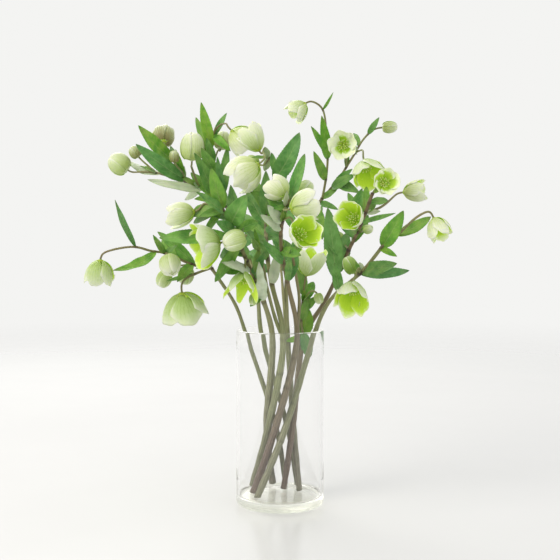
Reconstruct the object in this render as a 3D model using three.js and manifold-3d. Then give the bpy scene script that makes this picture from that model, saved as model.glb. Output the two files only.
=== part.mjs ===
// A bunch of green hellebore stems standing in a clear glass cylinder vase.
// Units are millimetres and +Z is up. The origin is the centre of the vase's underside.

import * as THREE from 'three';
import { mergeVertices } from 'three/addons/utils/BufferGeometryUtils.js';
import Module from 'manifold-3d';

const wasm = await Module();
wasm.setup();

// ---- Driving dimensions ----------------------------------------------------------------

const VASE_RADIUS = 50;
const VASE_HEIGHT = 200;
const VASE_WALL = 2.6;
const VASE_FLOOR = 10;
const VASE_FOOT = 5; // rounding of the foot
const FOOT_BEVEL = 0.3; // where its one middle edge lies, as a share of it
const VASE_EDGE = 1.2; // and of the lip and the inner corner
const VASE_SIDES = 32;

const FOOT_GAP = 0.6; // between the lowest point of a cut foot and the glass floor
const WAIST_HEIGHT = 84; // where the stems pass closest to each other
const WAIST_RADIUS = 16;

const STALK_TOP_RADIUS = 2.1;
const LIMB_RADIUS = 1.6;
const PEDICEL_RADIUS = 1.1;
const STALK_SIDES = 6;
const LIMB_SIDES = 5;
const PEDICEL_SIDES = 4;
const STALK_STEP = 36; // length of tube between two rings
const LIMB_STEP = 13;
const KNOB = 1.3; // a fork's swelling, as a multiple of the stalk's radius there

const LEAF_THICKNESS = 0.8;
const TEPAL_THICKNESS = 0.8;
const SEAT_GAP = 0.3; // between a pedicel's end and the bloom on it
const SEAT_RADIUS = 1.7; // the flat spot of a bloom or bud that meets its pedicel
const APPROACH = 0.25; // a pedicel comes straight to its bloom over this share of the bloom's length
const TEPALS = 5;

// Where the bunch is looked at from when it is arranged: this far in front, at this height.
const EYE_DISTANCE = 1150;
const EYE_HEIGHT = 309;

// The bunch opens in depth as it rises over the mouth: over this height its depths grow to
// this multiple of the ones that are listed.
const OPENING_HEIGHT = 130;
const OPENING = 1.8;

// ---- Places ----------------------------------------------------------------------------

// A place in the bunch is [across, up, depth]. Across and up are measured on the upright plane
// through the vase's axis, and depth then slides the point along its line of sight, away from
// the front, so that the bunch keeps its face however deep it is.
function depthOf([, up, depth]) {
  const risen = THREE.MathUtils.clamp((up - VASE_HEIGHT) / OPENING_HEIGHT, 0, 1);
  return depth * THREE.MathUtils.lerp(1, OPENING, risen);
}

// How much larger a thing at a place is than it looks on the plane through the axis.
function reachOf(spot) {
  return (EYE_DISTANCE + depthOf(spot)) / EYE_DISTANCE;
}

function place(spot) {
  const [across, up] = spot;
  const reach = reachOf(spot);
  return new THREE.Vector3(
    across * reach,
    depthOf(spot),
    EYE_HEIGHT + (up - EYE_HEIGHT) * reach,
  );
}

// A direction is [across, up, depth] too.
function direction([across, up, depth]) {
  return new THREE.Vector3(across, depth, up).normalize();
}

// A point inside the vase, by its angle round the axis, its distance from the axis and its height.
function inVase(angle, radius, height) {
  const turn = THREE.MathUtils.degToRad(angle);
  return new THREE.Vector3(radius * Math.cos(turn), radius * Math.sin(turn), height);
}

// ---- Solids ----------------------------------------------------------------------------

function solid(geometry) {
  const bare = geometry.clone();
  bare.deleteAttribute('normal');
  bare.deleteAttribute('uv');
  const merged = mergeVertices(bare, 1e-4);
  return new wasm.Manifold(
    new wasm.Mesh({
      numProp: 3,
      vertProperties: new Float32Array(merged.attributes.position.array),
      triVerts: new Uint32Array(merged.index.array),
    }),
  );
}

function fuse(solids) {
  return solids.reduce((whole, piece) => whole.add(piece));
}

function toMesh(name, body, material) {
  const { vertProperties, triVerts } = body.getMesh();
  const geometry = new THREE.BufferGeometry();
  geometry.setAttribute('position', new THREE.BufferAttribute(new Float32Array(vertProperties), 3));
  geometry.setIndex(new THREE.BufferAttribute(new Uint32Array(triVerts), 1));
  geometry.computeVertexNormals();
  const mesh = new THREE.Mesh(geometry, material);
  mesh.name = name;
  return mesh;
}

function smoothLine(points) {
  return new THREE.CatmullRomCurve3(points, false, 'centripetal');
}

// The centres of a limb's rings, a step apart along its line.
function ringCentres(line, step) {
  return line.getSpacedPoints(Math.max(2, Math.round(line.getLength() / step)));
}

// The point of the limbs so far that is nearest to a spot, so that what grows there is rooted.
function nearestOn(limbs, spot) {
  let best = null;
  for (const centres of limbs) {
    for (let i = 1; i < centres.length; i++) {
      const point = new THREE.Vector3();
      new THREE.Line3(centres[i - 1], centres[i]).closestPointToPoint(spot, true, point);
      if (!best || point.distanceTo(spot) < best.distanceTo(spot)) best = point;
    }
  }
  return best;
}

// A round limb along a smooth line, tapering from one radius to another.
function limb(line, startRadius, endRadius, sides, step) {
  const centres = ringCentres(line, step);
  const steps = centres.length - 1;
  const section = new THREE.Shape();
  for (let side = 0; side < sides; side++) {
    const turn = (side / sides) * 2 * Math.PI;
    if (side === 0) section.moveTo(Math.cos(turn), Math.sin(turn));
    else section.lineTo(Math.cos(turn), Math.sin(turn));
  }
  const geometry = new THREE.ExtrudeGeometry(section, { steps, extrudePath: line });
  const position = geometry.attributes.position;
  const point = new THREE.Vector3();
  for (let i = 0; i < position.count; i++) {
    point.fromBufferAttribute(position, i);
    let nearest = 0;
    centres.forEach((centre, ring) => {
      if (centre.distanceTo(point) < centres[nearest].distanceTo(point)) nearest = ring;
    });
    const radius = THREE.MathUtils.lerp(startRadius, endRadius, nearest / steps);
    point.sub(centres[nearest]).multiplyScalar(radius).add(centres[nearest]);
    position.setXYZ(i, point.x, point.y, point.z);
  }
  return solid(geometry);
}

// A closed thin sheet: two like grids of points, one for each face, joined round the edge.
// spot(u, v, face) gives a point for u from -1 to 1 across, v from 0 to 1 along, and face 1 or -1.
function sheet(columns, rows, spot) {
  const across = columns + 1;
  const positions = [];
  for (const face of [1, -1]) {
    for (let row = 0; row <= rows; row++) {
      for (let column = 0; column <= columns; column++) {
        positions.push(...spot((2 * column) / columns - 1, row / rows, face).toArray());
      }
    }
  }
  const far = across * (rows + 1);
  const index = [];
  const quad = (a, b, c, d) => index.push(a, b, c, a, c, d);
  for (let row = 0; row < rows; row++) {
    for (let column = 0; column < columns; column++) {
      const a = row * across + column;
      quad(a, a + 1, a + 1 + across, a + across);
      quad(far + a, far + a + across, far + a + 1 + across, far + a + 1);
    }
    const left = row * across;
    const right = left + columns;
    quad(left, left + across, far + left + across, far + left);
    quad(right + across, right, far + right, far + right + across);
  }
  for (let column = 0; column < columns; column++) {
    const top = rows * across + column;
    quad(column + 1, column, far + column, far + column + 1);
    quad(top, top + 1, far + top + 1, far + top);
  }
  const geometry = new THREE.BufferGeometry();
  geometry.setAttribute('position', new THREE.Float32BufferAttribute(positions, 3));
  geometry.setIndex(index);
  return solid(geometry);
}

// ---- Leaves ----------------------------------------------------------------------------

const BROAD_LEAF = 13; // a leaf of this width or more has a row more
const NARROW_LEAF = 10; // and one up to this width is flat across
const LEAF_ROOT = 1.1; // half width where the blade leaves the stem
const LEAF_TIP = 0.5; // half width at the very tip
const LEAF_BELLY = 0.8; // under 1, the widest part lies nearer the root than the middle
const NOTCH = 0.78; // width between two teeth, as a share of the width at them
const LEAF_FOLD = 0.28; // how far the halves rise from the midrib, as a share of the half width
const LEAF_FACES = [0, 0.35, -1]; // the way upper faces look: to the front and a little up

// One leaf: a lance-shaped blade, folded along its midrib, bowed towards its upper face.
// turn rolls that face about the blade's length, from facing the front.
function leaf({ to, width, turn = 0, bow = 0.12, teeth = 0 }, root) {
  const tip = place(to);
  const along = tip.clone().sub(root);
  const length = along.length();
  along.normalize();
  const face = direction(LEAF_FACES);
  face.addScaledVector(along, -face.dot(along)).normalize();
  face.applyAxisAngle(along, THREE.MathUtils.degToRad(turn));
  const crest = root.clone().add(tip).multiplyScalar(0.5).addScaledVector(face, 2 * bow * length);
  const midrib = new THREE.QuadraticBezierCurve3(root, crest, tip);
  const plainRows = width < BROAD_LEAF ? 3 : 4;
  const rows = teeth ? 2 * teeth : plainRows;
  return sheet(width > NARROW_LEAF ? 2 : 1, rows, (u, v, side) => {
    const tangent = midrib.getTangent(v);
    const normal = face.clone().addScaledVector(tangent, -face.dot(tangent)).normalize();
    const across = tangent.clone().cross(normal);
    const belly = (Math.sin(Math.PI * v ** LEAF_BELLY) ** LEAF_BELLY * width) / 2;
    const notch = teeth && Math.round(v * rows) % 2 === 0 ? NOTCH : 1;
    const half = Math.max(belly * notch, THREE.MathUtils.lerp(LEAF_ROOT, LEAF_TIP, v));
    return midrib
      .getPoint(v)
      .addScaledVector(across, u * half)
      .addScaledVector(normal, Math.abs(u) * half * LEAF_FOLD + (side * LEAF_THICKNESS) / 2);
  });
}

// ---- Blooms ----------------------------------------------------------------------------

const SMALL_BLOOM = 15; // a bloom under this radius has tepals of fewer rows
const TEPAL_SPREAD = 0.78; // half the angle that a tepal covers at its widest, in radians
const OUTLINE_START = 0.22; // the stretch of a sine's arch, in half turns, that a tepal's
const OUTLINE_END = 0.89; // width follows from its root to its tip
const OUTLINE_BLUNTNESS = 0.7; // the power that rounds it
const TEPAL_LAP = 1.0; // how far each tepal's one edge lies over its neighbour, and the other under
const TEPAL_START = 0.12; // how far along its line a tepal leaves the receptacle
const FIRST_TEPAL = -0.3 * Math.PI; // each tepal leaves the middle of one side of the heart
const TEPAL_LIFT = 1.6; // height of the tepals' roots over the seat
const SLOPE_STEP = 0.01; // to each side of the place where a tepal's slope is taken

// One tepal, as part of a cup that opens along +Z: a quarter ellipse from the base to the rim,
// which flares or closes near its tip.
function tepal(turn, radius, length, flare) {
  const line = (v) => {
    const swing = (v * Math.PI) / 2;
    return new THREE.Vector2(
      radius * (Math.sin(swing) + flare * v ** 3),
      TEPAL_LIFT + (length - TEPAL_LIFT) * (1 - Math.cos(swing)),
    );
  };
  return sheet(2, radius < SMALL_BLOOM ? 2 : 3, (u, v, face) => {
    const t = TEPAL_START + (1 - TEPAL_START) * v;
    const here = line(t);
    const slope = line(t + SLOPE_STEP).sub(line(t - SLOPE_STEP)).normalize();
    const offset = u * TEPAL_LAP + (face * TEPAL_THICKNESS) / 2;
    const arch = Math.sin(Math.PI * THREE.MathUtils.lerp(OUTLINE_START, OUTLINE_END, v));
    const spread = TEPAL_SPREAD * arch ** OUTLINE_BLUNTNESS;
    const angle = turn + u * spread;
    const ring = here.x + slope.y * offset;
    return new THREE.Vector3(
      ring * Math.cos(angle),
      ring * Math.sin(angle),
      here.y - slope.x * offset,
    );
  });
}

// A round body that stands on its axis, from a profile of [radius, height] points.
function turned(profile, sides) {
  const points = profile.map(([radius, height]) => new THREE.Vector2(radius, height));
  const geometry = new THREE.LatheGeometry(points, sides);
  geometry.rotateX(Math.PI / 2);
  return geometry;
}

const HEART_RADIUS = 2; // the radius of a heart is this,
const HEART_GROWTH = 0.12; // and this share of the bloom's radius more
const HEART_LENGTH = 0.42; // share of the bloom's length by which it stands over the tepals' roots
const HEART_SHOULDER = 0.8; // how far over the tepals' roots it reaches its radius
const CROWN_GIRTH = 1.1; // the ring of anthers, as a multiple of the heart's radius
const CROWN_HEIGHT = 0.7; // and as a share of its height

// The receptacle with the cluster of stamens and carpels on it.
function heart(radius, length) {
  const girth = HEART_RADIUS + radius * HEART_GROWTH;
  const height = TEPAL_LIFT + length * HEART_LENGTH;
  return solid(
    turned(
      [
        [0, 0],
        [SEAT_RADIUS, 0],
        [girth, TEPAL_LIFT + HEART_SHOULDER],
        [girth * CROWN_GIRTH, height * CROWN_HEIGHT],
        [0, height],
      ],
      TEPALS,
    ),
  );
}

function openBloom({ radius, length, flare = 0 }) {
  const pieces = [heart(radius, length)];
  for (let i = 0; i < TEPALS; i++) {
    pieces.push(tepal(FIRST_TEPAL + (i / TEPALS) * 2 * Math.PI, radius, length, flare));
  }
  return fuse(pieces);
}

// A bud's two rings, each as shares of its radius and of its length.
const BUD_BELLY = [0.92, 0.3];
const BUD_SHOULDER = [0.86, 0.72];
const LOBE_DEPTH = 0.06;

// A closed bud: an egg with five shallow lobes, one for each folded tepal.
function bud({ radius, length }) {
  const geometry = turned(
    [
      [0, 0],
      [SEAT_RADIUS, 0],
      [radius * BUD_BELLY[0], length * BUD_BELLY[1]],
      [radius * BUD_SHOULDER[0], length * BUD_SHOULDER[1]],
      [0, length],
    ],
    2 * TEPALS,
  );
  const position = geometry.attributes.position;
  for (let i = 0; i < position.count; i++) {
    const x = position.getX(i);
    const y = position.getY(i);
    const lobe = 1 + LOBE_DEPTH * Math.cos(TEPALS * Math.atan2(y, x));
    position.setXY(i, x * lobe, y * lobe);
  }
  return solid(geometry);
}

// ---- Materials -------------------------------------------------------------------------

const glass = new THREE.MeshStandardMaterial({
  name: 'glass',
  color: 0xeef5ec,
  roughness: 0.05,
  metalness: 0,
  transparent: true,
  opacity: 0.3,
});
const greenery = new THREE.MeshStandardMaterial({
  name: 'greenery',
  color: 0x5f8a44,
  roughness: 0.55,
  metalness: 0,
});
const tepals = new THREE.MeshStandardMaterial({
  name: 'tepals',
  color: 0xc9dc96,
  roughness: 0.6,
  metalness: 0,
});

// ---- The vase --------------------------------------------------------------------------

function vase() {
  const inner = VASE_RADIUS - VASE_WALL;
  const edge = VASE_EDGE;
  const profile = [
    [0, 0],
    [VASE_RADIUS - VASE_FOOT, 0],
    [VASE_RADIUS - FOOT_BEVEL * VASE_FOOT, FOOT_BEVEL * VASE_FOOT],
    [VASE_RADIUS, VASE_FOOT],
    [VASE_RADIUS, VASE_HEIGHT - edge / 2],
    [VASE_RADIUS - VASE_WALL / 2, VASE_HEIGHT],
    [inner, VASE_HEIGHT - edge / 2],
    [inner, VASE_FLOOR + 2 * edge],
    [inner - 2 * edge, VASE_FLOOR],
    [0, VASE_FLOOR],
  ];
  return toMesh('vase', solid(turned(profile, VASE_SIDES)), glass);
}

// ---- The bunch -------------------------------------------------------------------------

// An open bloom and a closed one: the place of its middle, the direction it faces, its radius
// and its length, and for an open one how far its rim flares or, below nought, closes.
function open(centre, faces, radius, length, flare = 0) {
  return { form: 'open', centre, faces, radius, length, flare };
}

function closed(centre, faces, radius, length) {
  return { form: 'closed', centre, faces, radius, length };
}

// Each stem stands in the vase by its cut foot, passes the waist of the bunch and leans out of
// the mouth. girth is its stalk's radius at the foot, foot and mouth are [angle, distance from
// the axis], and waist is an angle. Then come the places that its stalk rises through, the
// leaves, and the limbs: each starts on the stalk or on an earlier limb and ends in a bloom.
const stems = [
  {
    name: 'far_left',
    girth: 3,
    foot: [80, 39],
    waist: 105,
    mouth: [178, 41],
    stalk: [[-50, 230, -2], [-62, 246, -6], [-78, 270, -12]],
    limbs: [
      {
        path: [
          [-78, 270, -12], [-101, 274, -18], [-130, 287, -26], [-147, 289, -30], [-163, 294, -34],
          [-184, 292, -38], [-199, 288, -40],
        ],
        bloom: open([-207, 264, -42], [-0.1, -1, -0.1], 17, 29, -0.15),
      },
      {
        path: [[-78, 270, -12], [-97, 263, -20], [-110, 256, -26]],
        bloom: open([-112, 226, -30], [0.1, -1, -0.2], 24, 30, 0.05),
      },
      {
        path: [[-130, 287, -26]],
        bloom: closed([-125, 273, -40], [0.2, -0.8, -0.6], 12, 24),
      },
      {
        path: [[-101, 274, -18], [-117, 272, -10]],
        bloom: closed([-132, 257, -8], [-0.5, -0.9, 0.1], 8.5, 19),
      },
      {
        path: [[-86, 272, -14], [-97, 274, -4]],
        bloom: closed([-107, 261, 4], [-0.2, -1, 0.3], 9, 20),
      },
    ],
    leaves: [
      { from: [-141, 288, -29], to: [-190, 268, -50], width: 10, turn: 20 },
      { from: [-164, 294, -34], to: [-187, 347, -30], width: 7, turn: 30 },
      { from: [-97, 274, -17], to: [-139, 311, -14], width: 12, turn: -20 },
      { from: [-97, 263, -20], to: [-129, 255, -22], width: 5, turn: 10 },
    ],
  },
  {
    name: 'upper_left',
    girth: 2.9,
    foot: [60, 41],
    waist: 55,
    mouth: [127, 40],
    stalk: [
      [-24, 232, 40], [-30, 265, 46], [-40, 296, 50], [-59, 340, 54], [-76, 352, 54],
      [-92, 362, 54],
    ],
    limbs: [
      {
        path: [[-92, 362, 54], [-107, 368, 57], [-124, 373, 60], [-141, 378, 62], [-166, 378, 64]],
        bloom: closed([-184, 390, 64], [-0.8, 0.6, 0], 12.5, 26),
      },
      {
        path: [[-141, 378, 62], [-152, 388, 62]],
        bloom: closed([-164, 401, 62], [-0.6, 0.8, 0], 6.5, 14),
      },
      {
        path: [[-107, 368, 57], [-121, 392, 54], [-128, 406, 52]],
        bloom: open([-131, 423, 56], [-0.1, 0.75, 0.65], 13, 24, -0.15),
      },
      {
        path: [[-107, 368, 57], [-110, 378, 50]],
        bloom: closed([-116, 396, 39], [-0.1, 1, -0.2], 5.5, 13),
      },
      {
        path: [[-92, 362, 54], [-96, 372, 50], [-101, 387, 44]],
        bloom: closed([-101, 410, 40], [0.05, 1, -0.1], 13, 31),
      },
      {
        path: [
          [-59, 340, 54], [-68, 362, 50], [-75, 388, 46], [-77, 410, 44], [-72, 429, 42],
          [-60, 434, 40],
        ],
        bloom: open([-43, 424, 36], [0.75, -0.55, -0.3], 14, 28, -0.15),
      },
      {
        path: [[-75, 388, 46], [-69, 406, 52]],
        bloom: closed([-65, 419, 56], [0.3, 0.9, 0.2], 8, 18),
      },
    ],
    leaves: [
      { from: [-126, 403, 52], to: [-161, 434, 40], width: 13, turn: 15 },
      { from: [-117, 385, 55], to: [-163, 412, 36], width: 15, turn: -15 },
      { from: [-138, 377, 62], to: [-169, 393, 80], width: 10, turn: 30 },
      { from: [-87, 360, 54], to: [-150, 366, 38], width: 10, turn: 25 },
      { from: [-110, 378, 50], to: [-124, 408, 66], width: 8, turn: 0 },
      { from: [-77, 406, 44], to: [-89, 457, 36], width: 12, turn: 0 },
      { from: [-74, 385, 46], to: [-95, 440, 60], width: 12, turn: 10 },
      { from: [-70, 369, 49], to: [-89, 406, 32], width: 15, turn: -10 },
      { from: [-63, 350, 52], to: [-97, 348, 36], width: 12, turn: 0 },
      { from: [-76, 417, 43], to: [-60, 445, 52], width: 7, turn: 10 },
    ],
  },
  {
    name: 'front_left',
    girth: 4.2,
    foot: [103, 39],
    waist: 165,
    mouth: [258, 38],
    stalk: [
      [-18, 230, -44], [-28, 255, -50], [-38, 277, -56], [-46, 299, -58], [-55, 320, -58],
      [-67, 339, -58],
    ],
    limbs: [
      {
        path: [[-46, 299, -58], [-60, 309, -58]],
        bloom: open([-85, 296, -66], [-0.8, -0.2, -0.55], 25, 26, 0.05),
      },
      {
        path: [[-46, 299, -58], [-43, 307, -64]],
        bloom: closed([-52, 301, -72], [-0.8, -0.3, -0.3], 12, 26),
      },
      {
        path: [[-67, 339, -58], [-78, 342, -56], [-89, 344, -54]],
        bloom: open([-115, 331, -52], [-0.9, -0.45, -0.1], 13, 36, -0.2),
      },
      {
        path: [[-38, 277, -56], [-40, 280, -64]],
        bloom: open([-43, 252, -74], [-0.15, -1, -0.2], 14, 34, 0.15),
      },
      {
        path: [[-28, 255, -50], [-25, 248, -54]],
        bloom: closed([-30, 234, -58], [-0.2, -1, -0.1], 5, 13),
      },
    ],
    leaves: [
      { from: [-64, 335, -58], to: [-84, 311, -42], width: 9, turn: 0 },
      { from: [-36, 274, -55], to: [-64, 277, -78], width: 14, turn: 20 },
      { from: [-55, 320, -58], to: [-38, 353, -66], width: 20, turn: 10, bow: 0.2 },
      { from: [-20, 232, -45], to: [-24, 277, -72], width: 12, turn: 0, teeth: 3 },
      { from: [-66, 337, -58], to: [-78, 383, -66], width: 14, turn: 0 },
      { from: [-63, 333, -58], to: [-95, 356, -76], width: 12, turn: 20 },
      { from: [-51, 310, -58], to: [-25, 323, -46], width: 12, turn: 0 },
      { from: [-46, 296, -58], to: [-74, 254, -60], width: 12, turn: 0 },
    ],
  },
  {
    name: 'centre',
    girth: 4,
    foot: [143, 42],
    waist: 205,
    mouth: [276, 40],
    stalk: [
      [-9, 247, -30], [-14, 277, -22], [-16, 302, -14], [-16, 331, -8], [-12, 354, -6],
      [-5, 376, -4],
    ],
    limbs: [
      {
        path: [[-5, 376, -4], [-12, 394, 0], [-18, 408, 4]],
        bloom: open([-24, 425, 10], [-0.2, 0.85, 0.4], 12, 20),
      },
      {
        path: [[-12, 394, 0], [-20, 402, -8]],
        bloom: open([-41, 380, -20], [-0.45, -0.9, -0.1], 19, 44, -0.05),
      },
      {
        path: [[-12, 394, 0], [-21, 394, 6]],
        bloom: closed([-30, 403, 10], [-0.7, 0.7, 0.2], 6, 15),
      },
    ],
    leaves: [
      { from: [-16, 331, -8], to: [-16, 380, -28], width: 13, turn: 0 },
      { from: [-7, 371, -5], to: [23, 423, -16], width: 20, turn: 0 },
      { from: [-16, 304, -13], to: [-41, 331, 8], width: 13, turn: 0 },
      { from: [-14, 277, -22], to: [-32, 307, 2], width: 11, turn: 10 },
      { from: [-12, 350, -6], to: [7, 380, 10], width: 13, turn: 0 },
      { from: [-15, 319, -10], to: [8, 342, -20], width: 12, turn: 0 },
    ],
  },
  {
    name: 'front_centre',
    girth: 4.1,
    foot: [186, 31],
    waist: 245,
    mouth: [300, 40],
    stalk: [
      [13, 233, -46], [8, 256, -52], [3, 279, -56], [0, 302, -58], [1, 323, -60], [7, 339, -60],
    ],
    limbs: [
      {
        path: [[7, 339, -60]],
        bloom: open([-3, 363, -60], [-0.3, 0.9, -0.2], 14, 26, -0.3),
      },
      {
        path: [[7, 339, -60]],
        bloom: open([23, 340, -72], [0.8, -0.1, -0.5], 13, 27, -0.1),
      },
      {
        path: [[7, 339, -60], [17, 348, -52]],
        bloom: closed([29, 360, -48], [0.6, 0.7, 0.1], 8.5, 19),
      },
      {
        path: [[1, 323, -60], [14, 327, -70]],
        bloom: open([26, 309, -84], [0.05, -0.35, -0.93], 20, 18, 0.05),
      },
    ],
    leaves: [
      { from: [1, 320, -60], to: [-14, 341, -68], width: 11, turn: 0 },
      { from: [8, 254, -51], to: [12, 291, -66], width: 8, turn: 0, teeth: 3 },
      { from: [9, 341, -59], to: [28, 399, -46], width: 11, turn: 0 },
      { from: [5, 277, -55], to: [-21, 302, -72], width: 10, turn: 0 },
    ],
  },
  {
    name: 'right',
    girth: 3.8,
    foot: [226, 37],
    waist: 285,
    mouth: [352, 41],
    stalk: [[53, 230, -14], [67, 245, -20], [91, 262, -28], [112, 289, -34], [120, 299, -36]],
    limbs: [
      {
        path: [[120, 299, -36], [133, 307, -38], [154, 327, -42], [169, 335, -44]],
        bloom: open([181, 315, -46], [0.2, -1, -0.1], 14.5, 26, -0.15),
      },
      {
        path: [[91, 262, -28], [90, 272, -36]],
        bloom: open([81, 241, -50], [-0.15, -0.9, -0.4], 19, 36, 0.1),
      },
      {
        path: [[94, 265, -29], [90, 272, -20]],
        bloom: closed([80, 277, -12], [-0.7, 0.4, 0.3], 7, 16),
      },
    ],
    leaves: [
      { from: [116, 295, -35], to: [140, 335, -44], width: 17, turn: 0 },
      { from: [133, 307, -38], to: [172, 329, -26], width: 10, turn: 0 },
      { from: [114, 293, -34], to: [133, 283, -46], width: 7, turn: 0 },
      { from: [94, 265, -29], to: [135, 277, -44], width: 13, turn: 0 },
      { from: [92, 262, -28], to: [148, 270, -14], width: 9, turn: 0 },
    ],
  },
  {
    name: 'upper_right',
    girth: 3.5,
    foot: [72, 13],
    waist: 330,
    mouth: [40, 41],
    stalk: [[49, 226, 18], [65, 262, 12], [78, 291, 8], [89, 311, 4], [97, 333, 0], [105, 355, -2]],
    limbs: [
      {
        path: [[105, 355, -2], [113, 366, -2]],
        bloom: open([121, 368, -14], [0.2, 0, -0.97], 15, 15, 0.1),
      },
      {
        path: [[89, 311, 4], [76, 318, -6]],
        bloom: open([81, 329, -28], [0.75, -0.1, -0.6], 16, 26),
      },
      {
        path: [[89, 311, 4], [94, 311, -2]],
        bloom: closed([100, 314, -8], [0.8, 0.2, -0.4], 5, 11),
      },
      {
        path: [[97, 333, 0], [115, 339, 6], [131, 353, 10]],
        bloom: open([154, 358, 10], [0.95, 0.1, -0.2], 13, 25, 0.05),
      },
      {
        path: [[78, 291, 8], [74, 296, 18]],
        bloom: closed([63, 302, 28], [-0.7, 0.4, 0.5], 10, 22),
      },
      {
        path: [[29, 187, 20], [24, 212, 4], [26, 233, 0]],
        bloom: open([34, 276, -10], [0.3, 0.85, -0.35], 13, 26, -0.1),
      },
      {
        path: [[26, 233, 0], [36, 245, -8]],
        bloom: closed([44, 235, -14], [0.3, -0.9, -0.2], 5, 12),
      },
    ],
    leaves: [
      { from: [64, 260, 12], to: [55, 332, 6], width: 14, turn: 0 },
      { from: [66, 264, 12], to: [76, 310, 26], width: 11, turn: 0 },
      { from: [92, 319, 2], to: [77, 355, 14], width: 10, turn: 0 },
      { from: [101, 345, -1], to: [122, 347, 8], width: 9, turn: 0 },
      { from: [93, 323, 2], to: [131, 332, -16], width: 6, turn: 0 },
      { from: [26, 231, 0], to: [38, 254, 14], width: 12, turn: 0 },
      { from: [24, 210, 5], to: [32, 237, -6], width: 10, turn: 0 },
      { from: [26, 196, 12], to: [37, 212, 22], width: 12, turn: 0 },
    ],
  },
  {
    name: 'top',
    girth: 3.4,
    foot: [20, 24],
    waist: 8,
    mouth: [78, 40],
    stalk: [[7, 233, 44], [7, 260, 47], [12, 285, 50], [23, 308, 52], [39, 333, 52], [48, 349, 50]],
    limbs: [
      {
        path: [
          [48, 349, 50], [52, 371, 46], [54, 395, 44], [52, 417, 42], [51, 439, 40], [47, 452, 38],
          [37, 458, 36],
        ],
        bloom: open([20, 450, 34], [-0.8, -0.6, -0.1], 12, 24, -0.1),
      },
      {
        path: [
          [48, 349, 50], [66, 370, 48], [75, 384, 46], [85, 400, 42], [93, 414, 40], [106, 427, 38],
        ],
        bloom: closed([126, 431, 36], [1, 0.05, 0], 6.5, 17),
      },
      {
        path: [[75, 384, 46], [75, 399, 38]],
        bloom: open([73, 411, 16], [-0.1, 0.1, -0.99], 15.5, 17),
      },
      {
        path: [[85, 400, 42], [94, 404, 34]],
        bloom: open([100, 383, 20], [0.1, -0.9, -0.4], 18, 28, 0.1),
      },
    ],
    leaves: [
      { from: [54, 398, 44], to: [35, 430, 40], width: 8, turn: 0 },
      { from: [54, 394, 44], to: [47, 442, 22], width: 12, turn: 0 },
      { from: [52, 369, 46], to: [38, 402, 34], width: 8, turn: 0 },
      { from: [48, 448, 39], to: [60, 468, 34], width: 5, turn: 0 },
      { from: [99, 421, 39], to: [112, 440, 34], width: 7, turn: 0 },
      { from: [90, 408, 41], to: [83, 422, 50], width: 8, turn: 0 },
      { from: [41, 337, 52], to: [48, 302, 38], width: 14, turn: 0 },
      { from: [46, 345, 51], to: [67, 334, 40], width: 12, turn: 0 },
      { from: [23, 308, 52], to: [1, 341, 60], width: 12, turn: 0 },
    ],
  },
];

// The points that a stalk runs through, from its foot to its fork.
function stalkPoints({ girth, foot, waist, mouth, stalk }) {
  const end = inVase(...foot, VASE_FLOOR);
  const middle = inVase(waist, WAIST_RADIUS, WAIST_HEIGHT);
  const slant = Math.hypot(middle.x - end.x, middle.y - end.y) / middle.distanceTo(end);
  end.z += FOOT_GAP + girth * slant;
  return [end, middle, inVase(...mouth, VASE_HEIGHT), ...stalk.map(place)];
}

// A bloom's size is listed as it looks on the plane through the axis, like its centre.
function sized(bloom) {
  const reach = reachOf(bloom.centre);
  return { ...bloom, radius: bloom.radius * reach, length: bloom.length * reach };
}

// Where a bloom's seat lies, and the two points by which its pedicel comes to it.
function seatOf({ centre, faces, length }) {
  const axis = direction(faces);
  const seat = place(centre).addScaledVector(axis, -length / 2);
  const approach = seat.clone().addScaledVector(axis, -length * APPROACH);
  const end = seat.clone().addScaledVector(axis, -SEAT_GAP);
  return { axis, seat, approach, end };
}

function leafyStem(stem) {
  const stalk = smoothLine(stalkPoints(stem));
  const fork = stalk.getPoint(1);
  const grown = [ringCentres(stalk, STALK_STEP)];
  const knob = solid(new THREE.IcosahedronGeometry(STALK_TOP_RADIUS * KNOB, 0));
  const pieces = [
    limb(stalk, stem.girth, STALK_TOP_RADIUS, STALK_SIDES, STALK_STEP),
    knob.translate(fork.x, fork.y, fork.z),
  ];
  for (const { path, bloom } of stem.limbs) {
    const [first, ...rest] = path.map(place);
    const { approach, end } = seatOf(sized(bloom));
    const line = smoothLine([nearestOn(grown, first), ...rest, approach, end]);
    grown.push(ringCentres(line, LIMB_STEP));
    const isBranch = path.length > 2;
    pieces.push(
      limb(
        line,
        isBranch ? LIMB_RADIUS : PEDICEL_RADIUS,
        PEDICEL_RADIUS,
        isBranch ? LIMB_SIDES : PEDICEL_SIDES,
        LIMB_STEP,
      ),
    );
  }
  for (const blade of stem.leaves) {
    pieces.push(leaf(blade, nearestOn(grown, place(blade.from))));
  }
  return toMesh(`leafy_stem_${stem.name}`, fuse(pieces), greenery);
}

function bloomsOf(stem) {
  return stem.limbs.map((stemLimb, number) => {
    const bloom = sized(stemLimb.bloom);
    const isOpen = bloom.form === 'open';
    const body = isOpen ? openBloom(bloom) : bud(bloom);
    const kind = isOpen ? 'bloom' : 'bud';
    const mesh = toMesh(`${kind}_${stem.name}_${number + 1}`, body, tepals);
    const { axis, seat } = seatOf(bloom);
    mesh.position.copy(seat);
    mesh.quaternion.setFromUnitVectors(new THREE.Vector3(0, 0, 1), axis);
    return mesh;
  });
}

const hellebores = new THREE.Group();
hellebores.add(vase());
for (const stem of stems) {
  hellebores.add(leafyStem(stem), ...bloomsOf(stem));
}

export default hellebores;
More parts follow.
